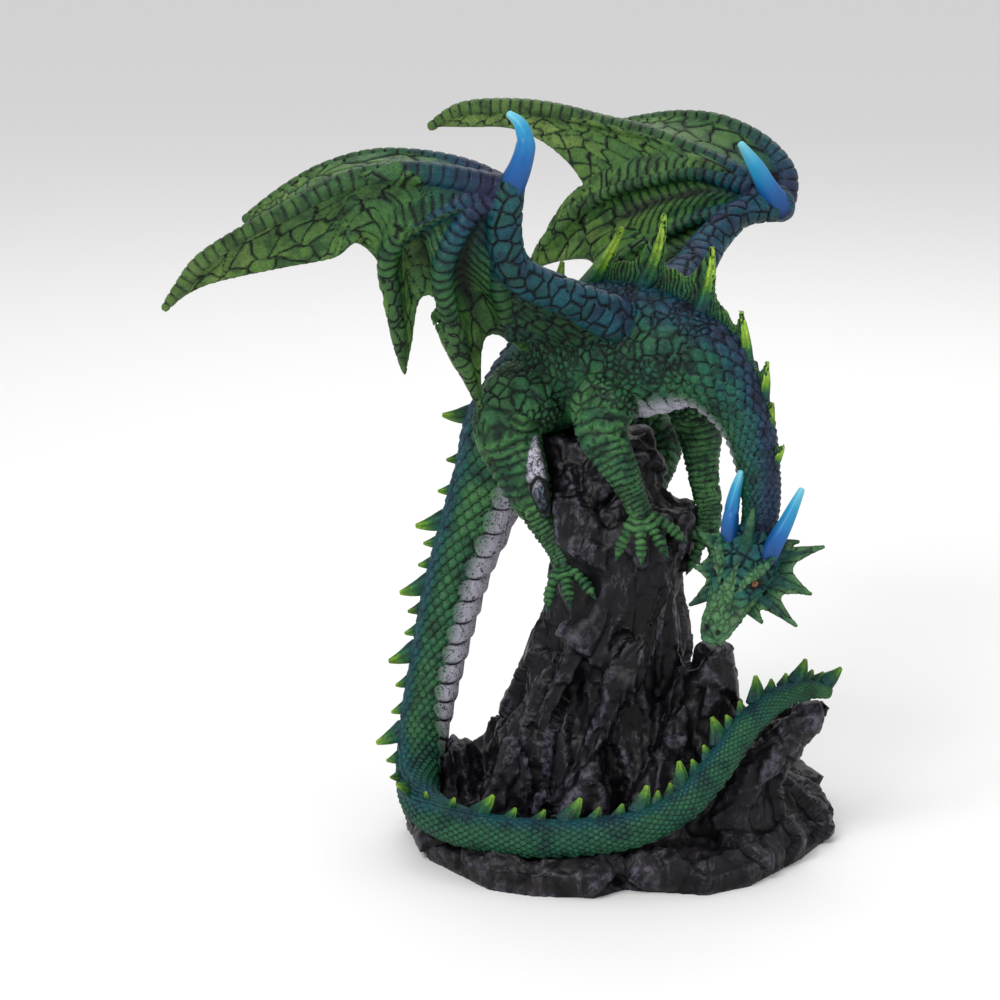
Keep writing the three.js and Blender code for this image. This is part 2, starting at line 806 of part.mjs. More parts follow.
function slab() {
  const rings = SLAB_LEVELS.map(({ height, share }, i) =>
    SLAB.map(([x, y], j) => {
      const shift = i === 0 ? 0 : 0.035 * unevenness(11 * i + 3 * j);
      return new THREE.Vector3(x * (share + shift), y * (share + shift), height + (i ? 2 * unevenness(i + j) : 0));
    }),
  );
  return loft(rings, new THREE.Vector3(0, 0, 0), new THREE.Vector3(0, 0, 16));
}

const PILLAR = [
  [-4, 4, 2, 52, 46],
  [-5, 2, 22, 46, 38],
  [-6, 1, 43, 42, 34],
  [-3, 1, 58, 36, 31],
  [-3, 1, 70, 31, 30],
  [-2, 0, 84, 28, 30],
  [-1, -1, 100, 26, 30],
  [1, -3, 112, 27, 31],
  [2, -5, 126, 29, 32],
  [1, -4, 135, 29, 30],
  [-6, 0, 139, 22, 25],
  [-8, 6, 162, 20, 14],
];

const ROCKS = [
  // crag under the head
  [[[34, -6, 8, 30, 34], [36, -10, 30, 20, 24], [36, -14, 52, 13, 18], [36, -16, 72, 10, 14], [37, -18, 83, 7, 8]], 8],
  // boulder that carries the tail's tip
  [[[38, -22, 8, 26, 22], [48, -22, 30, 18, 18], [58, -21, 45, 13, 14], [69, -20, 55, 12, 11], [78, -19, 60, 7, 7]], 8],
  // stepped blocks at the right of the slab
  [[[60, 6, 6, 24, 30], [60, 6, 15, 22, 28], [60, 8, 21, 18, 24], [58, 8, 26, 11, 16]], 7],
  // shards at the front
  [[[-46, -36, 8, 17, 9], [-43, -38, 28, 10, 7], [-40, -40, 51, 2, 2]], 5],
  [[[-14, -40, 8, 20, 10], [-12, -42, 28, 12, 8], [-8, -44, 47, 2.5, 2.5]], 5],
  [[[-30, -46, 8, 10, 8], [-28, -48, 24, 6, 5], [-27, -49, 38, 2, 2]], 5],
  [[[14, -40, 8, 18, 12], [18, -38, 34, 11, 9], [22, -34, 52, 5, 5]], 6],
  // stones at the left, behind the tail
  [[[-58, 4, 8, 15, 16], [-60, 2, 26, 11, 13], [-62, 0, 39, 6, 8]], 7],
  [[[-48, 20, 8, 18, 20], [-46, 16, 30, 12, 14], [-44, 12, 46, 5, 6]], 6],
  // ledges at the back
  [[[20, 38, 8, 30, 20], [18, 34, 34, 22, 14], [14, 30, 58, 12, 9]], 7],
  [[[-24, 40, 8, 24, 16], [-22, 34, 36, 16, 11], [-18, 28, 66, 8, 7]], 7],
  // ridges that climb the front
  [[[-38, -28, 20, 12, 10], [-33, -28, 52, 8, 8], [-18, -30, 84, 7, 7], [-4, -30, 112, 5, 5]], 5],
  [[[-16, -34, 14, 11, 9], [-8, -32, 48, 8, 8], [8, -30, 86, 7, 7], [20, -28, 122, 6, 6], [26, -25, 136, 3, 3]], 5],
  [[[20, -30, 30, 9, 8], [22, -28, 56, 7, 7], [25, -26, 78, 4, 4]], 5],
  // ledge under the near forefoot
  [[[5, -24, 92, 15, 11], [7, -27, 118, 15, 12], [8, -28, 137, 11, 11]], 6],
  // nub between the forefeet
  [[[24, -6, 112, 9, 12], [26, -6, 128, 8, 10], [27, -5, 137, 4, 6]], 6],
];

function rockSolid() {
  const parts = [slab(), crag(PILLAR, { sides: 11, rough: 2.2, seed: 5 })];
  ROCKS.forEach(([rows, sides], n) => parts.push(crag(rows, { sides, rough: 1.4, seed: 40 + n, turn: 0.4 * n })));
  return filled(union(parts));
}

function meshOf(name, solid, colour, roughness) {
  const { numProp, vertProperties, triVerts } = solid.getMesh();
  const positions = new Float32Array((vertProperties.length / numProp) * 3);
  for (let i = 0; i < positions.length / 3; i++) {
    positions.set(vertProperties.subarray(i * numProp, i * numProp + 3), i * 3);
  }
  const geometry = new THREE.BufferGeometry();
  geometry.setAttribute("position", new THREE.BufferAttribute(positions, 3));
  geometry.setIndex(new THREE.BufferAttribute(triVerts, 1));
  geometry.computeVertexNormals();
  const mesh = new THREE.Mesh(geometry, new THREE.MeshStandardMaterial({ color: colour, roughness, metalness: 0 }));
  mesh.name = name;
  return mesh;
}

const statue = new THREE.Group();
statue.add(
  meshOf("dragon", dragonSolid(), DRAGON_GREEN, 0.45),
  meshOf("rock_base", filled(rockSolid().subtract(dragonSolid(CLEARANCE))), ROCK_GREY, 0.6),
);

export default statue;
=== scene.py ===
# A painted resin dragon perched on its crag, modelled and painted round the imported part, in metres.
# Places in the dictionaries are millimetres in the part's frame: +X to the head, -Y to the front, +Z up.
import itertools
import math
import bpy
import numpy as np
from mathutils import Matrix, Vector
from mathutils.bvhtree import BVHTree

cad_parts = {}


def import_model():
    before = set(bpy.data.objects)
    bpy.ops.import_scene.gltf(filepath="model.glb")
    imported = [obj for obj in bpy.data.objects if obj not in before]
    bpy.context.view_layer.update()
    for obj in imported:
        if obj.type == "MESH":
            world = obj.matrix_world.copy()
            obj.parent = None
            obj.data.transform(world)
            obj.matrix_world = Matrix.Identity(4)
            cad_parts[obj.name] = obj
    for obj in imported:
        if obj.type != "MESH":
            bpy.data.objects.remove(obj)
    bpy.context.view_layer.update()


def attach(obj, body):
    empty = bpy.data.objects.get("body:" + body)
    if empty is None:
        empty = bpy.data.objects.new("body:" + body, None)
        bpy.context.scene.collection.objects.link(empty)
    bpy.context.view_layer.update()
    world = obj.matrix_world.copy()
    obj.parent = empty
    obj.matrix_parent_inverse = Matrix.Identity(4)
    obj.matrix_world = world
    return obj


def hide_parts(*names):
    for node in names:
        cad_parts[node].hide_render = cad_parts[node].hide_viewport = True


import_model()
mm = 0.001


# camera, floor and light

studio = {
    "target": (-44.8, 0, 136.1),
    "distance": 1600,
    "elevation": 15,
    "lens": 149.76,
    "sensor": 36,
    "floor": 40,
    "floorColour": (0.86, 0.86, 0.86),
    "floorRough": 0.9,
    "floorSpecular": 0.1,
    "sky": (1.0, 1.0, 1.0),
    "skyStrength": 0.72,
    "aim": (0, 0, 140),
    "lamps": [  # place, size, power
        ((-500, -900, 1000), 0.5, 10),
        ((1000, -500, 500), 0.8, 2),
        ((100, 700, 900), 0.9, 4),
    ],
}


def makeStudio(look):
    tilt = math.radians(look["elevation"])
    target = np.array(look["target"]) * mm
    place = target + look["distance"] * mm * np.array([0, -math.cos(tilt), math.sin(tilt)])
    bpy.ops.object.camera_add(location=place, rotation=(math.pi / 2 - tilt, 0, 0))
    camera = bpy.context.object
    camera.data.sensor_width = look["sensor"]
    camera.data.lens = look["lens"]
    bpy.context.scene.camera = camera
    bpy.ops.mesh.primitive_plane_add(size=look["floor"])
    floor = bpy.context.object
    floor.name = "floor"
    pale = bpy.data.materials.new("paleFloor")
    pale.use_nodes = True
    shader = pale.node_tree.nodes["Principled BSDF"]
    shader.inputs["Base Color"].default_value = (*look["floorColour"], 1)
    shader.inputs["Roughness"].default_value = look["floorRough"]
    shader.inputs["Specular IOR Level"].default_value = look["floorSpecular"]
    floor.data.materials.append(pale)
    for lampPlace, size, power in look["lamps"]:
        bpy.ops.object.light_add(type="AREA", location=np.array(lampPlace) * mm)
        lamp = bpy.context.object
        lamp.data.size = size
        lamp.data.energy = power
        towards = Vector(np.array(look["aim"]) * mm - np.array(lampPlace) * mm)
        lamp.rotation_euler = towards.to_track_quat("-Z", "Y").to_euler()
    world = bpy.data.worlds.new("studioSky")
    bpy.context.scene.world = world
    world.use_nodes = True
    sky = world.node_tree.nodes["Background"].inputs
    sky["Color"].default_value = (*look["sky"], 1)
    sky["Strength"].default_value = look["skyStrength"]
    bpy.context.scene.view_settings.view_transform = "Standard"


makeStudio(studio)
print("studio set")


# curves and rolled grids

def rowsAt(rows, t):  # values of whole rows on a Catmull-Rom curve, t from 0 to 1
    rows = np.asarray(rows, float)
    last = len(rows) - 1
    place = np.clip(np.atleast_1d(t), 0, 1) * last
    i = np.minimum(np.floor(place).astype(int), last - 1)
    f = (place - i)[:, None]
    a, b, d, e = (rows[np.clip(i + k, 0, last)] for k in (-1, 0, 1, 2))
    return b + 0.5 * f * (d - a + f * (2 * a - 5 * b + 4 * d - e + f * (3 * b - a - 3 * d + e)))


def unit(v):
    return v / np.maximum(np.linalg.norm(v, axis=-1, keepdims=True), 1e-9)


def headings(rows, t):
    step = 0.25 / len(rows)
    return unit(rowsAt(rows, t + step)[:, :3] - rowsAt(rows, t - step)[:, :3])


def stepsOf(places):  # the length of each step between places in a row
    return np.linalg.norm(np.diff(places[:, :3], axis=0), axis=1)


def distances(places, spot):
    return np.linalg.norm(places - spot, axis=1)


def fromBack(turn):  # 0 along the back, pi and -pi on the belly
    return (turn - math.pi / 2 + math.pi) % (2 * math.pi) - math.pi


def offRound(x):  # how far from the nearest whole number
    return np.abs(x - np.round(x))


def smooth(low, high, x):
    f = np.clip((x - low) / (high - low), 0, 1)
    return f * f * (3 - 2 * f)


def chance(*whole):  # repeatable numbers from 0 to 1 for whole numbers
    mixed = sum(k * w for k, w in zip(whole, (12.9898, 78.233, 37.719, 9.151)))
    wave = np.sin(mixed) * 43758.5453
    return wave - np.floor(wave)


def cells(places, seed=0.0, jitter=0.85, facing=None):
    # scattered cells: distance to the border, the cell's own chance, and the way from its centre
    size = places.shape[1]
    base = np.floor(places)
    nearest = np.full(len(places), 9.0)
    second = nearest.copy()
    centre = np.zeros(places.shape)
    other = centre.copy()
    mark = np.zeros(len(places))
    for step in itertools.product((-1, 0, 1), repeat=size):
        cell = base + step
        sides = [chance(*cell.T, seed + 3.7 * k) for k in range(size)]
        spot = cell + 0.5 + jitter * (np.stack(sides, 1) - 0.5)
        away = distances(places, spot)
        closer = away < nearest
        nearer = ~closer & (away < second)
        other = np.where(closer[:, None], centre, np.where(nearer[:, None], spot, other))
        second = np.where(closer, nearest, np.where(nearer, away, second))
        centre = np.where(closer[:, None], spot, centre)
        mark = np.where(closer, sides[0], mark)
        nearest = np.where(closer, away, nearest)
    apart = np.maximum(np.linalg.norm(other - centre, axis=1), 0.2)
    border = (second ** 2 - nearest ** 2) / (2 * apart)
    if facing is not None:  # measured along the hide, so that slanted borders keep their width
        lean = (facing * (other - centre)).sum(1) / apart
        border = border / np.sqrt(np.maximum(1 - lean ** 2, 0.04))
    return border, mark, places - centre


def drift(places, seed=0.0):  # smooth noise from 0 to 1, one hill to each unit
    base = np.floor(places)
    f = places - base
    f = f * f * (3 - 2 * f)
    total = np.zeros(len(places))
    for corner in itertools.product((0, 1), repeat=places.shape[1]):
        weight = np.prod(np.where(corner, f, 1 - f), axis=1)
        total += weight * chance(*(base + corner).T, seed)
    return total


def sway(places, seed):  # the same noise, from -0.5 to 0.5
    return drift(places, seed) - 0.5


def shingles(row, column):
    # rounded scales, each lying over the root of the next row: height, and distance from the painted shadow
    # under the free edge of the scale above
    height = np.zeros(len(row))
    shadow = np.ones(len(row))
    covered = np.zeros(len(row), bool)
    outside = np.ones(len(row))
    for back in (1, 0):
        k = np.floor(row) - back
        across = 2 * (column - 0.5 * (k % 2) - np.round(column - 0.5 * (k % 2)))
        y = row - k
        inside = np.minimum(1.7 - 0.7 * across ** 2 - y, 1.15 - np.abs(across))
        here = ~covered & ((inside > 0) | (back == 0))
        height = np.where(here, (0.2 + 0.8 * y / 1.7) * smooth(-0.1, 0.25, inside), height)
        shadow = np.where(here, np.minimum(outside, np.abs(1.04 - np.abs(across)) + 0.1), shadow)
        outside = np.maximum(-inside, 0)
        covered |= here
    return height, shadow


capAngles = (0.5, 1.0, 1.35, math.pi / 2)  # rings of the rounded end of a tube
capLength = 0.6  # how far that end stands out, as a share of the radius


def formOf(points, zone, grids, fixed):  # a closed grid of points with the values that each one carries
    for key, value in fixed.items():
        grids[key] = np.full(points.shape[:2], float(value))
    return {"points": points, "zone": zone, "values": grids}


def tube(
    rows, sides=24, rings=40, back=(0.1, 0.3, 1), shape=None, zone="skin", span=(0, 1), **values
):
    # a form swept along rows of place and radius, or of place, half width, half height and back direction
    t = np.linspace(*span, rings) if len(span) == 2 else np.asarray(span)
    rings = len(t)
    p = rowsAt(rows, t)
    ahead = headings(rows, t)
    facing = p[:, 5:8] if p.shape[1] > 5 else np.broadcast_to(np.array(back, float), (rings, 3))
    side = unit(np.cross(facing, ahead))
    up = np.cross(ahead, side)
    wide = p[:, 3]
    high = p[:, 4] if p.shape[1] > 4 else wide
    angle = np.linspace(0, 2 * np.pi, sides + 1)
    swell = np.ones((rings, sides + 1)) if shape is None else shape(angle[None, :], t[:, None])
    points = (
        p[:, None, :3]
        + side[:, None] * (np.cos(angle) * wide[:, None] * swell)[..., None]
        + up[:, None] * (np.sin(angle) * high[:, None] * swell)[..., None]
    )
    caps = []
    for end, sign in ((0, -1), (-1, 1)):
        out = sign * capLength * min(wide[end], high[end]) * ahead[end]
        centre = p[end, :3]
        ring = points[end] - centre
        caps.append([centre + ring * math.cos(a) + out * math.sin(a) for a in capAngles])
    points = np.concatenate([caps[0][::-1], points, caps[1]])
    steps = stepsOf(p)
    lines = {
        "count": np.concatenate([[0], np.cumsum(2 * steps / (wide + high)[1:])]),
        "t": t,
        "along": np.concatenate([[0], np.cumsum(steps)]),
        "girth": (wide + high) / 2,
    }
    grids = {}
    for key, line in lines.items():
        grids[key] = np.pad(line, len(capAngles), mode="edge")[:, None] + 0 * angle
    grids["turn"] = np.broadcast_to(angle, points.shape[:2]) * 1.0
    return formOf(points, zone, grids, values)


def looped(line):  # out along one face of a skin and home along the other
    return np.concatenate([line, line[::-1], line[:1]])


def capped(line):  # the first and the last once more, for the closing rows
    return np.concatenate([line[:1], line, line[-1:]])


def skin(
    first, second, until=1, hem=(), sag=0, root=0.14, thin=1.1,
    columns=34, rings=56, zone="membrane", fillets=(0, 0), **values,
):
    # a closed thin form between two fingers and its hem, in the part's own shape
    t = np.linspace(0, 1, rings)
    x = np.linspace(0, 1, columns)
    w = 0.5 * x + 0.25 * (1 - np.cos(np.pi * x))
    one = rowsAt(first, root + (1 - root) * t)
    other = rowsAt(second, (root + (1 - root) * t) * until)
    a, b = one[:, :3], other[:, :3]
    border = rowsAt(np.array([a[-1], *hem, b[-1]]), w)
    over, down = w[:, None, None], t[None, :, None]
    between = a[None] * (1 - over) + b[None] * over
    middle = between + (border[:, None] - a[-1] * (1 - over) - b[-1] * over) * down
    normal = unit(np.cross(np.gradient(middle, axis=0), np.gradient(middle, axis=1)))
    depth = sag * (4 * w * (1 - w)) ** 1.6
    middle = middle + normal * (depth[:, None] * np.sin(np.pi * (0.1 + 0.75 * t))[None, :])[..., None]
    half = (
        thin
        + fillets[0] * smooth(0.36, 0, w)[:, None] * (one[:, 3] - thin)
        + fillets[1] * smooth(0.64, 1, w)[:, None] * (other[:, 3] - thin)
    )
    half[:, -1] = 0.8 * thin
    upper = middle + normal * half[..., None]
    lower = middle - normal * half[..., None]
    loop = np.concatenate([upper, lower[::-1], upper[:1]]).transpose(1, 0, 2)
    seam = looped(middle).transpose(1, 0, 2)
    points = np.concatenate([seam[:1], loop, seam[-1:]])
    span = np.linalg.norm(np.diff(middle, axis=0), axis=2).sum(0)
    length = looped(np.linalg.norm(np.diff(middle, axis=1), axis=2).sum(1))
    roots = [stepsOf(rowsAt(rows, np.linspace(0, root, 9))).sum() for rows in (first, second)]
    start = looped(roots[0] * (1 - w) + roots[1] * w)
    share = looped(w)
    drop = capped(t)[:, None]
    grids = {
        "w": share + 0 * drop,
        "t": drop + 0 * share,
        "span": capped(span)[:, None] + 0 * share,
        "along": start + drop * length,
    }
    return formOf(points, zone, grids, values)


def rolledGrid(name, points):  # a grid primitive of as many points, each one moved to its place
    rows, columns = points.shape[:2]
    bpy.ops.object.select_all(action="DESELECT")
    bpy.ops.mesh.primitive_grid_add(
        x_subdivisions=rows - 1, y_subdivisions=columns - 1, size=1, calc_uvs=False
    )
    piece = bpy.context.object
    piece.name = name
    piece.data.vertices.foreach_set("co", (points.transpose(1, 0, 2).reshape(-1, 3) * mm).ravel())
    piece.data.update()
    return piece


def chosen(pieces):
    bpy.ops.object.select_all(action="DESELECT")
    for piece in pieces:
        piece.select_set(True)
    bpy.context.view_layer.objects.active = pieces[0]


def sealed(piece):
    chosen([piece])
    bpy.ops.object.mode_set(mode="EDIT")
    bpy.ops.mesh.select_all(action="SELECT")
    bpy.ops.mesh.remove_doubles(threshold=0.01 * mm)
    bpy.ops.mesh.dissolve_degenerate(threshold=0.001 * mm)
    bpy.ops.mesh.normals_make_consistent(inside=False)
    bpy.ops.object.mode_set(mode="OBJECT")
    return piece


def joined(name, pieces):
    chosen(pieces)
    if len(pieces) > 1:
        bpy.ops.object.join()
    piece = bpy.context.object
    piece.name = name
    piece.data.name = name
    return piece


def applied(piece, kind, **settings):
    chosen([piece])
    modifier = piece.modifiers.new(kind.title(), kind)
    for key, value in settings.items():
        setattr(modifier, key, value)
    bpy.ops.object.modifier_apply(modifier=modifier.name)
    return piece


def placesOf(piece):
    flat = np.empty(len(piece.data.vertices) * 3)
    piece.data.vertices.foreach_get("co", flat)
    return flat.reshape(-1, 3) / mm


def normalsOf(piece):
    flat = np.empty(len(piece.data.vertices) * 3, np.float32)
    piece.data.vertex_normals.foreach_get("vector", flat)
    return flat.reshape(-1, 3).astype(float)


def edgesOf(piece):  # the two ends of every edge
    ends = np.empty(2 * len(piece.data.edges), np.int32)
    piece.data.edges.foreach_get("vertices", ends)
    return ends.reshape(-1, 2).T


def movePoints(piece, places):
    piece.data.vertices.foreach_set("co", (places * mm).ravel())
    piece.data.update()


def pushOut(piece, lift):  # each point moved out along its normal, in millimetres
    movePoints(piece, placesOf(piece) + normalsOf(piece) * lift[:, None])


leastPart = 200  # points in the smallest loose part that a casting keeps
easing = 0.5  # how far each round of smoothing goes


def dropCrumbs(piece):  # loose bits, left where a form is thinner than a voxel
    one, other = edgesOf(piece)
    label = np.arange(len(piece.data.vertices))
    settled = False
    while not settled:
        lower = label.copy()
        np.minimum.at(lower, one, label[other])
        np.minimum.at(lower, other, label[one])
        lower = lower[lower]
        settled = (lower == label).all()
        label = lower
    loose = np.bincount(label)[label] < leastPart
    bpy.ops.object.mode_set(mode="EDIT")
    bpy.ops.mesh.select_all(action="DESELECT")
    bpy.ops.object.mode_set(mode="OBJECT")
    piece.data.vertices.foreach_set("select", loose)
    bpy.ops.object.mode_set(mode="EDIT")
    bpy.ops.mesh.delete(type="VERT")
    bpy.ops.object.mode_set(mode="OBJECT")


def cast(name, forms, voxel, ease=3):  # forms melted into one skin, as a casting is
    piece = joined(name, [rolledGrid(name, form["points"]) for form in forms])
    applied(piece, "REMESH", mode="VOXEL", voxel_size=voxel * mm, adaptivity=0)
    dropCrumbs(piece)
    applied(piece, "SMOOTH", factor=easing, iterations=ease)
    print(name, "cast,", len(piece.data.polygons), "faces")
    return piece


def crossLength(a, b):
    return np.linalg.norm(np.cross(a, b), axis=1)


def readBack(piece, forms):  # for each point of the piece, the values and the zone of the forms nearest to it
    places = placesOf(piece)
    zones = sorted({form["zone"] for form in forms})
    names = sorted({key for form in forms for key in form["values"]})
    points, faces, values, zoneOf = [], [], [], []
    start = 0
    for form in forms:
        rows, columns = form["points"].shape[:2]
        index = start + np.arange(rows * columns).reshape(rows, columns)
        a, b, c, d = index[:-1, :-1], index[1:, :-1], index[1:, 1:], index[:-1, 1:]
        faces += [np.stack(corners, -1).reshape(-1, 3) for corners in ((a, b, c), (a, c, d))]
        points.append(form["points"].reshape(-1, 3))
        empty = np.zeros((rows, columns))
        values.append(np.stack([form["values"].get(key, empty).ravel() for key in names], 1))
        zoneOf.append(np.full(rows * columns, zones.index(form["zone"])))
        start += rows * columns
    points, faces, values, zoneOf = (np.concatenate(part) for part in (points, faces, values, zoneOf))
    tree = BVHTree.FromPolygons(points.tolist(), faces.tolist(), all_triangles=True)
    hits = [tree.find_nearest(place) for place in places.tolist()]
    spots = np.array([hit[0][:] for hit in hits])
    corner = faces[[hit[2] for hit in hits]].T
    a, b, c = points[corner]
    whole = np.maximum(crossLength(b - a, c - a), 1e-9)
    weights = [crossLength(p - spots, q - spots) / whole for p, q in ((b, c), (a, c), (a, b))]
    mixed = sum(values[k] * weight[:, None] for k, weight in zip(corner, weights)) / sum(weights)[:, None]
    found = {key: mixed[:, n] for n, key in enumerate(names)}
    zone = zoneOf[corner[0]]
    return places, found, {name: zone == n for n, name in enumerate(zones)}


def record(piece, **fields):  # painter's guides, kept as attributes of the points
    for key, value in fields.items():
        layer = piece.data.attributes.new(key, "FLOAT", "POINT")
        layer.data.foreach_set("value", np.asarray(value, np.float32))


def finished(piece, material, nodes=("dragon",)):
    piece.data.materials.clear()
    piece.data.materials.append(material)
    chosen([piece])
    bpy.ops.object.shade_smooth()
    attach(piece, "root")
    if nodes:
        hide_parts(*nodes)
    print(piece.name, "finished")


# the body: trunk, neck and tail on one centre line, and the four legs

body = {
    # place, half width, half height and the way the back faces, from the nape to the tip of the tail
    "spine": [
        (50, -60, 136, 6.2, 6.5, 0.3, -0.95, 0.1),
        (52, -57, 152, 6.6, 7.2, 0.7, -0.7, 0),
        (49, -49, 172, 8, 9, 0.88, -0.4, 0.2),
        (43, -42, 186, 10.5, 12, 0.72, -0.25, 0.6),
        (31, -33, 198, 14, 17, 0.35, -0.1, 0.92),
        (11, -20, 200, 17.5, 24, 0.1, 0, 1),
        (-10, -2, 195, 18.5, 26, -0.05, 0, 1),
        (-27, 12, 181, 17, 19.5, -0.3, 0.1, 0.94),
        (-42, 19, 161, 14, 16, -0.85, 0.25, 0.42),
        (-48, 22, 141, 12.5, 14.2, -0.95, 0.2, 0.25),
        (-54, 23, 122, 12, 13.2, -0.97, 0.15, 0.2),
        (-60, 22, 105, 11, 11.8, -0.98, 0.15, 0.15),
        (-65, 20, 87, 10.4, 11.2, -0.98, 0.15, 0.1),
        (-69, 17, 69, 9.6, 10.2, -0.98, 0.15, 0.05),
        (-73, 11, 51, 9, 9.6, -0.98, 0.1, 0.05),
        (-75.5, 2, 37, 8.4, 9, -0.97, 0.05, 0.15),
        (-77, -10, 27, 7.7, 8, -0.88, -0.15, 0.4),
        (-75, -24, 22, 7.4, 7.7, -0.6, -0.15, 0.78),
        (-67, -38, 20, 7.1, 7.4, -0.25, 0, 0.97),
        (-52, -50, 19, 6.9, 7.2, -0.05, 0.15, 1),
        (-32, -60, 20, 6.7, 7, 0, 0.2, 1),
        (-12, -64, 22, 6.5, 6.8, 0, 0.2, 1),
        (7, -63, 25, 6.2, 6.5, -0.1, 0.2, 1),
        (23, -57, 31, 5.9, 6.2, -0.3, 0.2, 0.95),
        (34, -50, 40, 5.6, 5.9, -0.5, 0.2, 0.85),
        (43, -43, 50, 5.2, 5.5, -0.6, 0.2, 0.8),
        (51, -37, 59, 4.8, 5, -0.5, 0.2, 0.85),
        (62, -31, 66, 4.3, 4.5, -0.2, 0.2, 0.95),
        (73, -26, 68, 3.6, 3.8, 0, 0.2, 1),
        (81, -23, 66, 2.4, 2.6, 0.1, 0.2, 1),
    ],
    # place and radius from the body to the ankle, the way the foot points, the way it presses down
    "legs": [
        {
            "rows": [
                (-2, -20, 190, 8), (-5, -26, 182, 12.5), (-6, -32, 171, 9.5), (0, -36, 159, 6.8),
                (5, -37, 148, 4.8), (8, -38, 141, 4.6),
            ],
            "ahead": (0.25, -0.75, -0.6),
            "down": (0.1, 0.5, -0.85),
        },
        {
            "rows": [
                (23, -14, 190, 9), (29, -5, 180, 12), (32, -2, 163, 8.4), (33, -3, 149, 6), (35, -5, 135, 5),
                (35, -7, 127, 4.8),
            ],
            "ahead": (-0.1, -0.75, -0.65),
            "down": (-0.3, 0.5, -0.8),
        },
        {
            "rows": [
                (-27, 4, 184, 10), (-33, 0, 178, 15.5), (-41, -6, 167, 13.5), (-35, -11, 147, 9.5),
                (-28, -13, 132, 6.6), (-22, -17, 121, 5), (-20, -20, 116, 4.6),
            ],
            "ahead": (0.25, -0.9, -0.25),
            "down": (0.3, 0.35, -0.89),
        },
        {
            "rows": [
                (-17, 28, 172, 15), (2, 30, 162, 11), (17, 28, 155, 9), (16, 24, 142, 7), (12, 18, 133, 4.8),
            ],
            "ahead": (0.7, 0.2, -0.6),
            "down": (-0.2, 0, -1),
        },
    ],
    "toes": (-0.85, -0.28, 0.28, 0.85),
    "toe": [
        (0, 0, 3.2), (4, 0.2, 2.1), (7, 0, 2.7), (10.5, 1.4, 1.8), (13.5, 3.2, 2.3), (16.5, 6, 1.4),
        (19, 9, 0.4),
    ],
    "heelToe": 0.62,
    "voxel": 0.77,
    "trunk": 0.31,
    "tail": 0.25,
    "neckScales": 0.135,  # where rows of scales end on the neck and begin again on the rump
    "rumpScales": 0.232,
    "silverEnd": (0.205, 0.165),
    "nail": 0.8,
    "scaleColumns": 18,
    "scalePitch": 0.86,
    "scaleLine": 2.1,
    "scaleLift": 0.56,
    "plateRate": 1.15,
    "hems": (2.2, 1.74, 2.5),
    "ribRate": 2.6,
    "toeRib": 2.3,
    "pebble": 2.7,
    "shield": 2.1,
    "shoulder": (-2, -12, 224),
    "patch": [
        (-33, -13, 168, 1.5), (-32, -18.5, 159, 3.4), (-30.5, -21, 150, 4.2), (-28.5, -21.5, 142, 3.7),
        (-27, -20.5, 135, 1.6),
    ],
    "grid": (6, 5),
    "trunkPlates": 2.1,
}


def footForms(leg, toes, joints, heelToe):
    ankle = np.array(leg["rows"][-1][:3], float)
    press = unit(np.array(leg["down"], float))
    front = unit(np.array(leg["ahead"], float))
    front = unit(front - 0.6 * front.dot(press) * press)
    side = np.cross(press, front)
    forms = []
    for turn, size in [(turn, 1) for turn in toes] + [(math.pi, heelToe)]:
        way = front * math.cos(turn) + side * math.sin(turn)
        rows = []
        for reach, drop, radius in joints:
            rows.append((*(ankle + way * reach * size + press * drop * size), radius * size))
        forms.append(tube(rows, 14, 26, back=tuple(-press), zone="toe"))
    return forms


def muscle(angle, t):
    return 1 + 0.07 * np.sin(3 * angle + 5 * t) * np.sin(math.pi * t)


def bodyForms(look):
    forms = [tube(look["spine"], 64, 160, zone="trunk", span=(0, look["trunk"]))]
    for leg in look["legs"]:
        forms.append(tube(leg["rows"], 32, 60, back=(0, 1, 0.2), zone="leg", shape=muscle))
        forms += footForms(leg, look["toes"], look["toe"], look["heelToe"])
    patch = [(*row, 0.55 * row[3], -0.5, -0.85, 0) for row in look["patch"]]
    forms.append(tube(patch, 24, 40, zone="patch"))
    return forms


def scaleRows(count, turn, girth, hemAt, plateRate, look):
    # carving round the neck and tail: how far it stands out, distance to the painted line (seams between the
    # belly plates, and painted shadow under each scale's free edge), share of belly
    low = np.abs(turn)
    columns = look["scaleColumns"]
    width = 2 * np.pi * girth / columns
    height, edge = shingles(count * columns / (2 * np.pi * look["scalePitch"]), turn / (2 * np.pi) * columns)
    lift = look["scaleLift"] * width * (height - 0.4)
    # the dark line under each scale's free edge is painted shadow cast on the root of the scale below
    line = edge * look["scaleLine"] + 0.06

    place = count * plateRate + 0.5 * ((low - hemAt - 0.4) / 0.9) ** 2
    part = place - np.floor(place)
    hem = (low - hemAt - 0.34 * (2 * part - 1) ** 2) * girth
    long = girth / plateRate
    edge = np.minimum(np.abs(hem), (math.pi - low) * girth + 0.2)
    seam = np.minimum(np.minimum(part, 1 - part) * long, edge)
    raised = 0.15 * girth * (0.2 + 0.8 * part) * smooth(0, 1.3, seam)
    under = hem > 0
    belly = np.where(under, smooth(0, 0.7, low - hemAt), 0)
    return np.where(under, raised, lift), np.where(under, seam * 0.7, line), belly


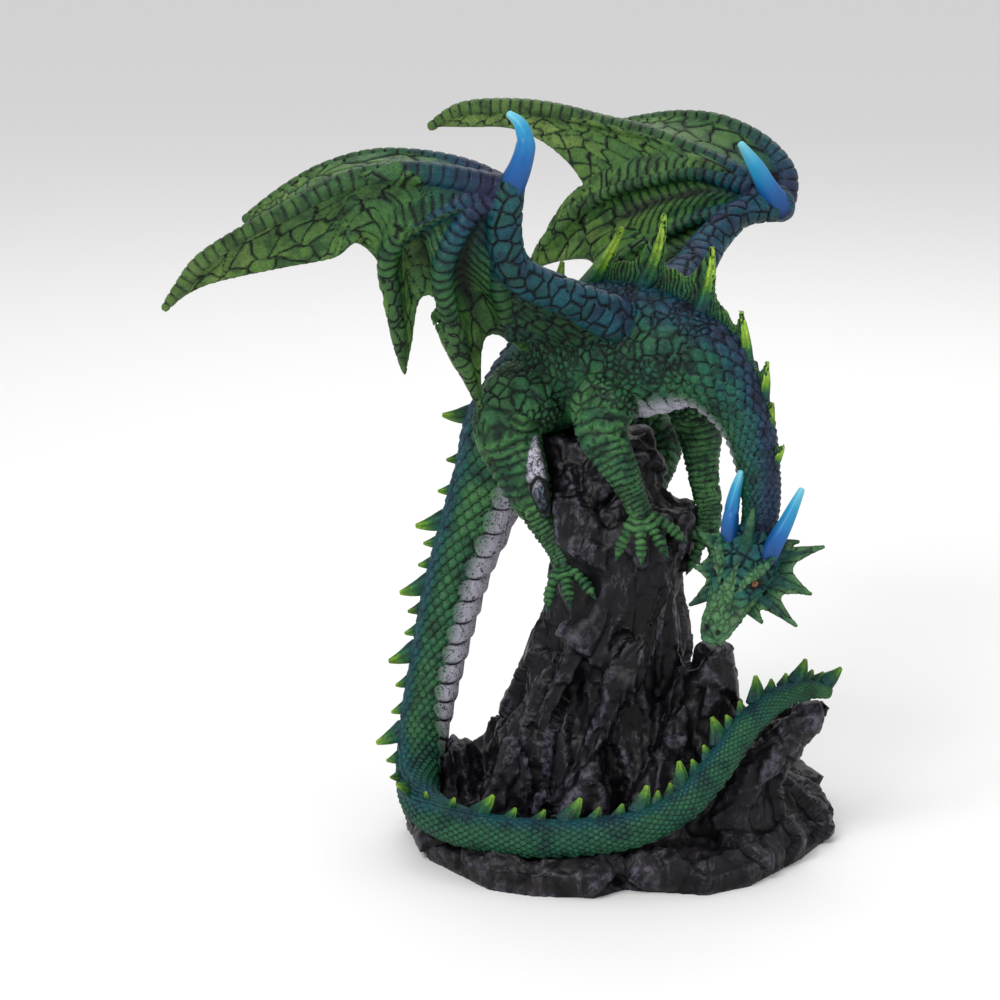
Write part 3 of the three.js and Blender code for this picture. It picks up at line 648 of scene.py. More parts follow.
def bodyRelief(places, facing, found, zone, look):
    # millimetres that the carving stands out, and the painter's guides
    turn = fromBack(found["turn"])
    low = np.abs(turn)
    t = found["t"]
    girth = np.maximum(found["girth"], 1)
    trunk, leg, toe = zone["trunk"], zone["leg"], zone["toe"]
    wobble = sway(places / 9, 2.0)

    # pebbled hide with shields among the pebbles
    border, mark = cells(places / look["pebble"], 1.0, facing=facing)[:2]
    wide = cells(places / (look["shield"] * look["pebble"]), 5.0, facing=facing)[0]
    shielded = drift(places / 13, 8.0) + 0.25 * wobble > 0.6
    line = np.where(shielded, np.minimum(wide * look["shield"], border + 0.25), border) * look["pebble"]
    lift = 0.9 * (smooth(0, 1.0, line) - 0.6) + 0.35 * (mark - 0.5)
    line = 1.75 * line + 0.05 + 0.5 * smooth(0.4, 0.7, drift(places / 6, 15.0))
    proud = 0.5 + lift / 0.9

    # rows of scales down the neck, plates along the throat and belly
    hemAt = look["hems"][0]
    slim = np.minimum(girth, 15)
    scaleLift, scaleLine, belly = scaleRows(found["count"], turn, slim, hemAt, look["trunkPlates"], look)
    ends = (t < look["neckScales"] + 0.03 * wobble) | (t > look["rumpScales"] + 0.03 * wobble)
    scaled = trunk & (ends | (low > hemAt - 0.1))
    lift = np.where(scaled, scaleLift, lift)
    line = np.where(scaled, scaleLine, line)
    pale = np.where(scaled, belly, 0) * smooth(*look["silverEnd"], t + 0.02 * wobble)

    # ribs across the fronts of the legs and round the toes
    tremor = sway(places / 3, 12.0)
    legRib = found["count"] * look["ribRate"] + wobble + 0.5 * tremor
    rib = np.where(toe, found["along"] / look["toeRib"] + 0.4 * tremor, legRib)
    pitch = np.where(toe, look["toeRib"], girth / look["ribRate"])
    split = found["turn"] * girth / (2.6 * pitch) + 3 * chance(np.floor(rib + 0.5))
    splitSeam = np.where(toe, 9, offRound(split) * 2.6 * pitch + 0.12)
    seam = np.minimum(offRound(rib) * pitch, splitSeam)
    front = np.cos(found["turn"] - 1.5 * math.pi) + 1.3 * wobble > 0.3
    nail = toe & (t >= look["nail"])
    ribbed = (leg & front & (t > 0.3)) | (toe & ~nail)
    lift = np.where(ribbed, 0.3 * pitch * (smooth(0, 0.42 * pitch, seam) - 0.5), lift)
    line = np.where(ribbed, 2.1 * seam + 0.08 + 0.4 * smooth(0.45, 0.8, drift(places / 5, 16.0)), line)
    proud = np.where(ribbed, 0.5 + 0.36 * lift / (0.15 * pitch), proud)
    lift = np.where(nail, 0, lift)
    line = np.where(nail, 2, line)
    proud = np.where(scaled, 0.5 + lift / 0.8, proud)

    # blue down the back, green flanks
    tone = 0.34 + 0.5 * smooth(1.3, 0.35, low) + 0.26 * smooth(0.2, 0.08, t) * smooth(2.4, 1.3, low)
    tone = np.where(leg, 0.24 + 0.1 * smooth(0.35, 0.0, t), tone)
    tone = np.where(toe, 0.2 + 0.25 * smooth(0.8, 0.95, t), tone) + 0.16 * wobble + 0.12 * (mark - 0.5)
    blue = smooth(30, 6, distances(places, look["shoulder"]) + 14 * wobble) * np.where(trunk, 0.8, 0)
    tone += (0.8 - tone) * blue

    lift -= np.where(trunk, 1.3 * smooth(0.25, 0.28, t), 0)

    # the silvery leaf of skin inside the near knee, with its dark loop
    patch = zone["patch"]
    ring = np.hypot((t - 0.72) / 0.2, np.cos(found["turn"])) + 0.8 * tremor
    loop = np.where(t > 0.4, 1.6 * offRound(ring), 1)
    lift = np.where(patch, 0.5 * (smooth(0, 1, loop) - 0.5), lift)
    line = np.where(patch, loop, line)
    speckle = drift(places / 0.9, 21.0)
    silver = 0.95 - 0.75 * smooth(0.35, 0.75, t) - 0.5 * smooth(0.45, 0.7, speckle)
    pale = np.where(patch, np.clip(silver, 0, 1), pale)
    # painted shade on the patch, deeper towards its end and along its sides where it lies between thigh and
    # shin; elsewhere, blotches of painted shade scattered by noise
    edge = np.abs(np.cos(found["turn"]))
    patchDark = 0.5 * smooth(0.4, 0.8, t) + 0.7 * smooth(0.6, 1, edge)
    dark = np.where(patch, patchDark, 0.5 * smooth(0.55, 0.8, drift(places / 5, 19.0)))
    return lift, line, np.clip(tone, 0, 1), pale, np.clip(proud, 0, 1), dark


def makeTail(look):  # a rolled grid whose points follow the rows of scales
    columns = look["scaleColumns"]
    across, down = look["grid"]
    t = np.linspace(look["tail"], 1, 2000)
    rows = rowsAt(look["spine"], t)
    turns = np.concatenate([[0], np.cumsum(2 * stepsOf(rows) / (rows[:, 3] + rows[:, 4])[1:])])
    rings = int(turns[-1] * columns / (2 * np.pi * look["scalePitch"]) * down)
    form = tube(look["spine"], columns * across, span=np.interp(np.linspace(0, turns[-1], rings), turns, t))
    piece = sealed(rolledGrid("tail", form["points"]))
    places, found = readBack(piece, [form])[:2]
    turn = fromBack(found["turn"])
    low, t, girth = np.abs(turn), found["t"], found["girth"]
    laid = smooth(0.47, 0.56, t)
    hanging, lying = look["hems"][1:]
    hemAt = hanging + (lying - hanging) * laid + 2 * smooth(0.3, 0.27, t)
    lift, line, belly = scaleRows(found["count"], turn, girth, hemAt, look["plateRate"], look)
    # the scales draw out into strands along the back
    strands = np.abs(np.sin(found["turn"] * 13 + 3 * sway(places / 6, 5.0)))
    back = smooth(0.75, 0.45, low)
    lift = lift * (1 - 0.6 * back) + back * 0.07 * girth * (strands - 0.5)
    line = np.minimum(line + 0.5 * back, 0.2 + 1.2 * strands + 3 * (1 - back))
    lift -= 1.6 * smooth(0.275, 0.25, t)
    pushOut(piece, lift)
    wobble = sway(places / 9, 2.0)
    shown = 1 - laid
    tone = 0.32 + (0.4 - 0.18 * laid) * smooth(1.25, 0.6, low) + 0.2 * wobble + 0.12 * laid
    tone += 0.14 * smooth(0.34, 0.25, t) * smooth(1.3, 0.5, low) - 0.22 * smooth(0.93, 1.0, t)
    # carve sets painted shade at the roots of the scales and painted highlight along their free edges
    record(piece, tone=tone, line=line, pale=belly * shown, carve=np.clip(0.5 + lift / (0.12 * girth), 0, 1))
    finished(piece, paints["body"], nodes=())


# the wings: an arm, a thumb claw and fingers with skins between them

nearWing = {
    "arm": [
        (24, -12, 198, 7), (3, -24, 210, 9), (-16, -36, 222, 7.2), (-37, -50, 235, 6.6),
        (-43, -56, 249, 6.4), (-42, -58, 270, 6.2),
    ],
    "claw": [
        (-42, -58, 267, 5.2), (-37.5, -60, 277, 4.2), (-35.5, -60.5, 286, 3.2), (-37.5, -59.5, 292.5, 2.2),
        (-41.5, -58, 296, 1.1),
    ],
    "fingers": [
        [
            (-45, -56, 270, 4.2), (-56, -52, 275, 3.4), (-72, -46, 278, 2.8), (-91, -42, 278, 2.6),
            (-109, -41, 273, 2.4), (-124, -43, 265, 2.2), (-138, -48, 255, 2),
        ],
        [
            (-45, -58, 269, 4.8), (-63, -62, 274, 4.3), (-81, -64, 276, 4), (-99, -64, 273, 3.7),
            (-117, -62, 264, 3.3), (-136, -56, 253, 2.9), (-154, -48, 240, 3), (-163, -42, 228, 2.7),
            (-169, -39, 220, 1.6),
        ],
        [
            (-45, -58, 268, 4.6), (-57, -60, 265, 4.4), (-70, -61, 259, 4.6), (-82, -60, 251, 4.8),
            (-86, -57, 241, 4.6), (-84, -53, 226, 4), (-82, -49, 210, 3.4), (-80, -46, 197, 1.2),
        ],
        [
            (-45, -58, 267, 4.6), (-55, -60, 260, 4.6), (-62, -61, 250, 5), (-66, -60, 238, 5),
            (-64, -55, 223, 4.4), (-60, -48, 208, 4), (-56, -42, 194, 3.2), (-52, -38, 182, 1.5),
        ],
        [
            (-43, -57, 268, 4.5), (-44, -54, 249, 4.5), (-45, -46, 230, 4), (-41, -34, 214, 4),
            (-36, -20, 202, 3),
        ],
    ],
    "flank": [(-43, -34, 207, 3), (-22, -24, 204, 3), (-2, -22, 200, 3)],
    "skins": [
        {"until": 0.63, "hem": [], "sag": 1},
        {"until": 1, "hem": [
            (-154, -42, 229), (-128, -48, 236), (-106, -53, 241), (-97, -55, 247), (-87, -56, 238),
            (-82.5, -50, 214),
        ], "sag": 5},
        {"until": 1, "hem": [(-77, -47, 209), (-73, -50, 226), (-64, -51, 217), (-58.5, -44, 199)], "sag": 6},
        {"until": 1, "hem": [(-51, -37, 196), (-48, -34, 207), (-41, -28, 204)], "sag": 7},
    ],
}
farWing = {
    "arm": [
        (2, -16, 198, 8), (13, -6, 205, 10), (20, 10, 214, 9.5), (29, 26, 221, 8), (38, 42, 230, 6.5),
        (50, 54, 238, 5.6), (66, 62, 240, 7),
    ],
    "claw": [(66, 60, 238, 5.2), (60, 56, 247, 4.2), (55, 54, 256, 3.1), (49, 54, 265, 1.2)],
    "fingers": [
        [
            (67, 66, 240, 5), (68, 74, 250, 4.4), (59, 84, 260, 3.8), (43, 93, 267, 3.2), (25, 99, 268, 2.8),
            (5, 101, 265, 2.4),
        ],
        [
            (66, 62, 240, 5), (50, 64, 250, 4.4), (33, 70, 258, 4), (14, 80, 264, 3.8), (-5, 92, 267, 3.6),
            (-25, 104, 270, 3.4), (-44, 114, 270, 3.2), (-61, 122, 267, 3), (-73, 128, 259, 2),
        ],
        [
            (65, 61, 239, 4.6), (50, 60, 247, 4), (33, 62, 252, 3.8), (16, 66, 249, 3.6), (-1, 72, 243, 3.6),
            (-16, 78, 232, 3.4), (-27, 83, 220, 3), (-33, 86, 208, 1.6),
        ],
        [
            (65, 60, 238, 4.6), (50, 56, 239, 4), (33, 54, 236, 3.6), (18, 54, 229, 3.3), (5, 55, 222, 3),
            (-4, 56, 212, 1.6),
        ],
        [(65, 60, 240, 4.5), (50, 54, 237, 4.5), (36, 42, 229, 4), (22, 28, 221, 4), (6, 18, 214, 3)],
    ],
    "flank": [(44, 44, 228, 3), (28, 24, 214, 3), (10, 8, 206, 3)],
    "skins": [
        {"until": 0.45, "hem": [], "sag": 2},
        {"until": 1, "hem": [
            (-57, 120, 260), (-40, 109, 261), (-23, 95, 254), (-12, 80, 241), (-22, 83, 230),
        ], "sag": 5},
        {"until": 1, "hem": [(-21, 80, 213), (-11, 70, 216)], "sag": 5},
        {"until": 1, "hem": [(6, 45, 212)], "sag": 5},
    ],
}
wingCarving = {
    "voxel": 0.72,
    "thin": 1.5,
    "fillets": [(0, 0), (0, 0.8), (0.8, 0.8), (0.8, 0.4)],
    "slim": (1, 1, 0.8, 0.8, 0.9),
    "cell": 8.0,
    "tick": 4.6,
    "rib": 3.6,
    "plate": 5.5,
    "tip": 5.5,
}


def wingForms(wing, look):
    forms = [tube(wing["arm"], 32, 70, zone="arm"), tube(wing["claw"], 20, 40, zone="claw")]
    fingers = []
    for rows, share in zip(wing["fingers"], look["slim"]):
        fingers.append([(*row[:3], row[3] * share) for row in rows])
    for n, finger in enumerate(fingers):
        forms.append(tube(finger, 18, 90, back=(0, -1, 0.1), zone="finger", number=n))
    for n, (shape, pair) in enumerate(zip(wing["skins"], zip(fingers, fingers[1:]))):
        forms.append(
            skin(*pair, **shape, root=0.1, thin=look["thin"], fillets=look["fillets"][n], number=n)
        )
    forms.append(skin(wing["arm"][1:5], wing["flank"][::-1], thin=look["thin"], fillets=(0.4, 0.4), number=4))
    return forms


def wingRelief(places, facing, found, zone, look):
    arm, claw, finger, hide = (zone[key] for key in ("arm", "claw", "finger", "membrane"))
    t, along, w, span, number = (found[key] for key in ("t", "along", "w", "span", "number"))
    wobble = sway(places / 10, 4.0)
    tremor = sway(places / 2.5, 9.0)

    folding = number > 1.5  # the panels behind the two long fingers
    flank = number > 3.5  # the last of them, between the arm and the body

    # long cells of the skin, smaller towards the wrist where each panel narrows
    size = np.where(flank, 4.0, np.clip(span / 3.4, 2.6, look["cell"]))
    sheet = np.stack([w * span / size + 7.3 * number, along / (1.7 * size)], 1)
    warp = [sway(sheet * 1.6, 17.0), sway(sheet * 1.6, 18.0)]
    sheet = sheet + 0.3 * np.stack([wobble, -wobble], 1) + 0.5 * np.stack(warp, 1)
    border, mark = cells(sheet, 2.0, 0.7)[:2]
    line = 1.7 * border * size + 0.12 * tremor + 0.05
    lift = 0.6 * (smooth(0, 1.7, line) - 0.6)

    # crescents across the panels that fold most, centred on their fingers
    aside = np.where(hide, 1 - np.abs(2 * w - 1), 0)
    tilt = np.where(finger, 0.35 * (1 - np.sin(found["turn"])), 0)
    rib = along / look["rib"] + 1.5 * aside ** 2 + tilt + 0.3 * tremor
    crescent = offRound(rib) * look["rib"]
    folded = folding & ~flank & (t < 0.62 + 0.1 * wobble)
    folded |= (number == 1) & (w > 0.8) & (t < 0.5 + 0.2 * wobble)
    folded |= (t < 0.16) & hide & folding
    ribbed = folded & (hide | finger)
    lift = np.where(ribbed, 0.55 * (smooth(0, 1.3, crescent) - 0.5), lift)
    line = np.where(ribbed, 1.6 * crescent + 0.12, line)
    # painted shade: in the valleys of the folding panels, along the first finger of each panel, towards the
    # wrist, and over the whole flank skin
    valley = smooth(0.7, 1.0, aside + 0.2 * wobble) * np.where(folding, 1.0, 0.0) * smooth(1.0, 0.6, t)
    valley = np.maximum(valley, 0.55 * smooth(0.12, 0.0, w) + 0.4 * smooth(0.25, 0.08, t))
    valley = np.where(flank, 0.35, valley)

    # notches along the leading fingers, cells on the tips of the others, plates on the arm
    tick = along / look["tick"] + 0.3 * wobble + 0.25 * np.sin(found["turn"])
    notch = offRound(tick) * look["tick"]
    leading = finger & (~folding | flank)
    lift = np.where(leading, 0.4 * (smooth(0, 0.9, notch) - 0.8), lift)
    line = np.where(leading, 1.3 * notch + 0.15 + 0.6 * smooth(-0.3, 0.5, np.cos(found["turn"])), line)
    tip = finger & ~leading & ~folded
    line = np.where(tip, 1.3 * cells(places / look["tip"], 4.0, facing=facing)[0] * look["tip"], line)
    lift = np.where(tip, 0.4 * (smooth(0, 0.9, line) - 0.7), lift)

    plateBorder, plateMark = cells(np.stack([along / look["plate"], found["turn"] / 1.1], 1), 3.0)[:2]
    line = np.where(arm, 1.5 * plateBorder * look["plate"] + 0.05, line)
    lift = np.where(arm, 0.7 * (smooth(0, 1.4, line) - 0.6) + 0.3 * (plateMark - 0.5), lift)
    lift = np.where(claw, 0, lift) * np.where(hide, smooth(1.0, 0.93, t), 1)
    line = np.where(claw, 3, line)
    return lift, line, np.where(hide, valley, 0), np.where(arm, plateMark, mark)


# the mane of tall webbed spines down the neck, and the small spines down the tail

crest = {
    "mane": [
        (6.9, (-2, 0, 226)), (6.1, (1, -8, 244)), (5.2, (16.5, -18, 251)), (4.3, (34, -28, 241)),
        (3.3, (44.5, -38, 219)),
        (2.6, (54, -46, 201.5)), (2.05, (56, -50, 187)), (1.5, (60, -56, 172)),
    ],
    "web": 0.5,
    "foot": 0.7,
    "maneVoxel": 0.55,
    "large": [8.1, 10.2, 11.6, 13, 14.7, 16.8, 18.9, 20.6, 22.1, 23.3, 24.9, 26.4, 27.6, 28.6],
    "small": (0.36, 0.68),
    "largeHeight": 9.4,
    "smallHeight": 4.6,
    "lean": 0.85,
    "leaves": [(6.7, (-21, 12, 227)), (6.3, (-8, 6, 228))],
}


def backAt(row, outward=1.0):  # place on the back, the way it faces and the way the tail goes
    t = row / (len(body["spine"]) - 1)
    p = rowsAt(body["spine"], t)[0]
    ahead = headings(body["spine"], np.array([t]))[0]
    up = unit(p[5:8] - p[5:8].dot(ahead) * ahead)
    return p[:3] + up * p[4] * outward, up, ahead


def spineRows(row, tip, foot=0.7, wide=4.5, thick=2.2, bow=0.16, narrow=0.2):
    point, _, ahead = backAt(row, foot)
    tip = np.array(tip, float)
    reach = np.linalg.norm(tip - point)
    rows = []
    for f in (0, 0.2, 0.4, 0.6, 0.8, 1.0):
        place = point + (tip - point) * f - ahead * bow * reach * math.sin(math.pi * f) * 0.5
        full = 1 - (1 - narrow) * f ** 1.2
        rows.append((*place, thick * full, wide * full, *ahead))
    return rows


def maneForms(look):
    forms = []
    fans = []
    for row, tip in look["mane"]:
        tall = np.linalg.norm(np.array(tip) - backAt(row, look["foot"])[0])
        fans.append(spineRows(row, tip, wide=1.5 + 0.055 * tall, thick=1.4 + 0.04 * tall, narrow=0.24))
        forms.append(tube(fans[-1], 16, 44, zone="spine"))
    webs = zip(look["mane"], look["mane"][1:], fans, fans[1:])
    for n, ((rowA, tipA), (rowB, tipB), a, b) in enumerate(webs):
        hem = []
        for f in (0.25, 0.5, 0.75):
            foot = backAt(rowA * (1 - f) + rowB * f, look["foot"])[0]
            top = np.array(tipA) * (1 - f) + np.array(tipB) * f
            hem.append(tuple(foot + (top - foot) * (look["web"] + 0.12 * abs(f - 0.6))))
        sides = [np.array(rows)[:, :4] for rows in (a, b)]
        forms.append(
            skin(*sides, hem=hem, root=0.0, thin=0.85, columns=26, rings=40, zone="web", number=n)
        )
    return forms


def tailSpine(row, size, lean):
    t = row / (len(body["spine"]) - 1)
    point, up, ahead = backAt(row)
    height = size * (1 - 0.25 * t)
    tip = point + up * height + ahead * height * lean
    rows = spineRows(row, tip, foot=0.8, wide=0.36 * height + 1.5, thick=0.16 * height + 0.7, bow=-0.1)
    return tube(rows, 12, 20, zone="spine")


def tailForms(look):
    forms = []
    for row, following in itertools.zip_longest(look["large"], look["large"][1:]):
        forms.append(tailSpine(row, look["largeHeight"], look["lean"]))
        for f in look["small"] if following else ():
            forms.append(tailSpine(row + (following - row) * f, look["smallHeight"], look["lean"]))
    for row, tip in look["leaves"]:
        forms.append(tube(spineRows(row, tip, wide=6, thick=2.4), 14, 24, zone="spine"))
    return forms


# the head: skull, brows, muzzle ridges, horns and webbed cheek frills

head = {
    "nape": (50, -60, 137),
    "ahead": (-0.42, -0.28, -0.86),
    "side": (0.878, -0.377, -0.289),
    "voxel": 0.42,
    # distance ahead of the nape, sideways and up out of the crown, half width and half height
    "skull": [
        (-5, 0, -1, 6.5, 6.5), (2, 0, 0, 10, 8.5), (9, 0, 0.5, 12, 9.6), (16, 0, 0.5, 10.5, 9),
        (23, 0, -0.5, 7.8, 7.4), (30, 0, -1.2, 6.6, 6.0), (36, 0, -1.6, 6.1, 5.0), (40.5, 0, -2, 4.4, 3.4),
    ],
    "ridges": [
        [
            (3, 10.6, 6.4, 0.8), (7, 10.0, 8.2, 1.6), (12, 8.0, 9.4, 1.9), (16, 5.6, 8.8, 1.4),
            (21, 3.6, 7.0, 0.4),
        ],
        [
            (13, 0.4, 9.3, 0.5), (20, 1.5, 8.0, 1.1), (26, 2.3, 6.4, 0.9), (33, 3.0, 3.9, 1.4),
            (38, 2.4, 1.8, 0.6),
        ],
        [(16, 9.0, -1.0, 1.8), (23, 7.2, -2.6, 1.7), (31, 5.8, -3.6, 1.4), (38, 3.8, -4.0, 1.0)],
    ],
    "crownRidge": [(9, 0, 9.4, 0.4), (14, 0, 9.9, 0.9), (19, 0, 8.9, 1.2), (26, 0, 6.2, 0.5)],
    "horns": [
        [(5, 8, 4, 3.5), (-2, 9, 7.5, 3.2), (-9, 9.8, 8.8, 2.6), (-17, 10, 9.2, 1.8), (-23, 10, 9, 1.0)],
        [
            (6, -7.5, 4, 3.3), (-1, -9.5, 7.5, 3.0), (-8, -11.5, 8.8, 2.4), (-14.5, -12.8, 9.2, 1.8),
            (-20, -13.5, 9, 1.1),
        ],
    ],
    "middleHorn": [(7, 0, 6.5, 3.4), (1, -0.6, 10, 2.3), (-4, -1.6, 11.6, 1.7), (-9, -3, 12.4, 0.8)],
    "frills": [  # root and tip of each spine of the two fans
        [
            ((1, 3, 3), (-6, 14.5, -3)), ((4, 6, 0), (-8, 24, -3)), ((11, 6, -2), (10, 27, -3)),
            ((17, 4, -3), (23, 27, -3)), ((22, 1, -4), (27, 14.5, -4)),
        ],
        [
            ((2, -3, 2), (-3, -15, -8)), ((6, -6, 0), (6, -22, -6)),
            ((12, -6, -2), (18.5, -18, -6)), ((20, -4, -3), (32, -14, -6)),
        ],
    ],
    "frillRadius": 2.7,
    "frillWeb": 0.56,
    "plate": 4.6,
    "bead": 2.7,
    "muzzle": (19, 27),
    "eye": (15.2, 7.5, 5.3, 1.7),
    "nostril": (37.5, 2.4, 2.6, 1.5),
    "mouth": [(16, 11, -2.5), (24, 8.4, -3.4), (32, 7.0, -3.2), (41, 1.5, -3.2)],
}
head["ahead"] = unit(np.array(head["ahead"]))
head["crown"] = unit(np.cross(head["ahead"], np.array(head["side"])))
head["side"] = unit(np.cross(head["crown"], head["ahead"]))


def headPlace(d, s, h):
    return np.array(head["nape"]) + head["ahead"] * d + head["side"] * s + head["crown"] * h


def onSide(spot, side):  # a place given for one side of the head, on that side or the other
    return headPlace(spot[0], side * spot[1], spot[2])


def headRows(rows):
    return [(*headPlace(*row[:3]), *row[3:]) for row in rows]


def mirrored(rows):
    return [(row[0], -row[1], *row[2:]) for row in rows]


def skullSwell(angle, t):
    return 1 + 0.06 * np.maximum(0, np.cos(4 * (angle - math.pi / 4))) * np.sin(math.pi * t)


def headForms(look):
    crown = tuple(look["crown"])
    skull = [(*row, *crown) for row in headRows(look["skull"])]
    forms = [tube(skull, 48, 80, zone="skull", shape=skullSwell)]
    for ridge in look["ridges"]:
        for rows in (ridge, mirrored(ridge)):
            forms.append(tube(headRows(rows), 14, 40, zone="ridge"))
    forms.append(tube(headRows(look["crownRidge"]), 14, 30, zone="ridge"))
    forms.append(tube(headRows(look["middleHorn"]), 16, 30, zone="spike"))
    for spines in look["frills"]:
        fans = []
        for root, tip in spines:
            a, b = headPlace(*root), headPlace(*tip)
            rows = []
            for f in (0, 0.25, 0.5, 0.75, 1):
                radius = look["frillRadius"] * (1 - 0.72 * f ** 1.3)
                rows.append((*(a + (b - a) * f - crownLift(f)), radius))
            fans.append(rows)
            forms.append(tube(rows, 12, 30, back=crown, zone="frill"))
        for one, other in zip(fans, fans[1:]):
            root = (np.array(one[0][:3]) + np.array(other[0][:3])) / 2
            tip = (np.array(one[-1][:3]) + np.array(other[-1][:3])) / 2
            hem = [tuple(root + (tip - root) * look["frillWeb"])]
            forms.append(
                skin(one, other, hem=hem, sag=1.2, root=0.0, thin=0.75, columns=20, rings=30, zone="frillWeb")
            )
    return forms


def crownLift(f):  # frill spines bow away from the crown
    return head["crown"] * 1.5 * math.sin(math.pi * f)


# the crag: rocks of uneven rings melted together, then split into flat faces and ridges

crag = {
    "slab": [
        (-82, 8), (-72, -30), (-49, -63), (-32, -70), (-9, -72), (2, -63), (33, -69), (50, -59), (72, -28),
        (82, -8), (83, 22), (78, 42), (60, 58), (30, 66), (-8, 64), (-46, 58), (-70, 40),
    ],
    "slabLevels": [(0, 1.0), (9, 1.03), (15.5, 0.95)],
    "pillar": [
        (-4, 4, 2, 52, 46), (-5, 2, 22, 46, 38), (-6, 1, 43, 42, 34), (-3, 1, 58, 36, 31),
        (-3, 1, 70, 31, 30), (-2, 0, 84, 28, 30),
        (-1, -1, 100, 26, 30), (1, -3, 112, 27, 31), (2, -5, 126, 29, 32), (1, -4, 135, 29, 30),
        (-6, 0, 139, 23, 26), (-9, 5, 163, 22, 15),
    ],
    "rocks": [  # rows of place, half width and half depth, with the number of faces
        ([
            (34, -6, 8, 30, 34), (36, -10, 30, 20, 24), (36, -14, 52, 13, 18), (36, -16, 72, 10, 14),
            (37, -18, 83, 7, 8),
        ], 8),
        ([
            (38, -22, 8, 26, 22), (48, -22, 30, 18, 18), (58, -21, 45, 13, 14), (69, -20, 55, 12, 11),
            (78, -19, 60, 7, 7),
        ], 8),
        ([(60, 6, 6, 24, 30), (60, 6, 15, 22, 28), (60, 8, 21, 18, 24), (58, 8, 26, 11, 16)], 7),
        ([(-46, -36, 8, 17, 9), (-43, -38, 28, 10, 7), (-40, -40, 51, 2, 2)], 5),
        ([(-14, -40, 8, 20, 10), (-12, -42, 28, 12, 8), (-8, -44, 47, 2.5, 2.5)], 5),
        ([(-30, -46, 8, 10, 8), (-28, -48, 24, 6, 5), (-27, -49, 38, 2, 2)], 5),
        ([(14, -40, 8, 18, 12), (18, -38, 34, 11, 9), (22, -34, 52, 5, 5)], 6),
        ([(-58, 4, 8, 15, 16), (-60, 2, 26, 11, 13), (-62, 0, 39, 6, 8)], 7),
        ([(-48, 20, 8, 18, 20), (-46, 16, 30, 12, 14), (-44, 12, 46, 5, 6)], 6),
        ([(20, 38, 8, 30, 20), (18, 34, 34, 22, 14), (14, 30, 58, 12, 9)], 7),
        ([(-24, 40, 8, 24, 16), (-22, 34, 36, 16, 11), (-18, 28, 66, 8, 7)], 7),
        ([(-38, -28, 20, 12, 10), (-33, -28, 52, 8, 8), (-18, -30, 84, 7, 7), (-4, -30, 112, 5, 5)], 5),
        ([
            (-16, -34, 14, 11, 9), (-8, -32, 48, 8, 8), (8, -30, 86, 7, 7), (20, -28, 122, 6, 6),
            (26, -25, 136, 3, 3),
        ], 5),
        ([(20, -30, 30, 9, 8), (22, -28, 56, 7, 7), (25, -26, 78, 4, 4)], 5),
        ([(5, -24, 92, 15, 11), (7, -27, 118, 15, 12), (8, -28, 137, 11, 11)], 6),
        ([(24, -6, 112, 9, 12), (26, -6, 128, 8, 10), (27, -5, 137, 4, 6)], 6),
    ],
    "voxel": 1.16,
    "deepest": -4.5,
    "highest": 3,
    "footing": (-1.2, 8, 90),  # depth of the stone under a foot, fading width and least height
    "chips": [(27, 3.2, 11.0), (12, 1.1, 23.0), (5.5, 0.35, 37.0)],  # size, depth, scattering
    "feet": [((5, -41, 139), 9), ((34, -10, 126), 9), ((-17, -25, 109), 10), ((13, 18, 133), 9)],
}


def cragForm(rows, faces, rough, seed, turn=0.0):
    rings = []
    for i, (x, y, z, wide, deep) in enumerate(rows):
        ring = []
        for j in range(faces):
            angle = turn + 2 * math.pi * (j + 0.35 * (chance(seed + 7.0 * j) - 0.5)) / faces
            shift = 0 if i == 0 else rough * 2 * (chance(seed + 31.0 * i + 17 * j) - 0.5)
            rise = 0 if i == 0 else 1.2 * rough * (chance(seed + 3.0 * i + 5 * j) - 0.5)
            spot = (x + math.cos(angle) * (wide + shift), y + math.sin(angle) * (deep + shift))
            ring.append((*spot, z + rise))
        ring.append(ring[0])
        rings.append(ring)
    rings = [[rows[0][:3]] * (faces + 1)] + rings + [[rows[-1][:3]] * (faces + 1)]
    return formOf(np.array(rings, float), "rock", {}, {})


def cragForms(look):
    levels = []
    for i, (height, share) in enumerate(look["slabLevels"]):
        ring = []
        for j, (x, y) in enumerate(look["slab"]):
            size = share + (0 if i == 0 else 0.035 * (chance(11.0 * i + 3 * j) - 0.5))
            ring.append((x * size, y * size, height + (2 * (chance(1.0 * i + j) - 0.5) if i else 0)))
        levels.append(ring + ring[:1])
    slab = [[(0, 0, 0)] * len(levels[0])] + levels + [[(0, 0, 16)] * len(levels[0])]
    forms = [formOf(np.array(slab, float), "rock", {}, {}), cragForm(look["pillar"], 11, 2.2, 5.0)]
    for n, (rows, faces) in enumerate(look["rocks"]):
        forms.append(cragForm(rows, faces, 1.4, 40.0 + n, 0.4 * n))
    return forms


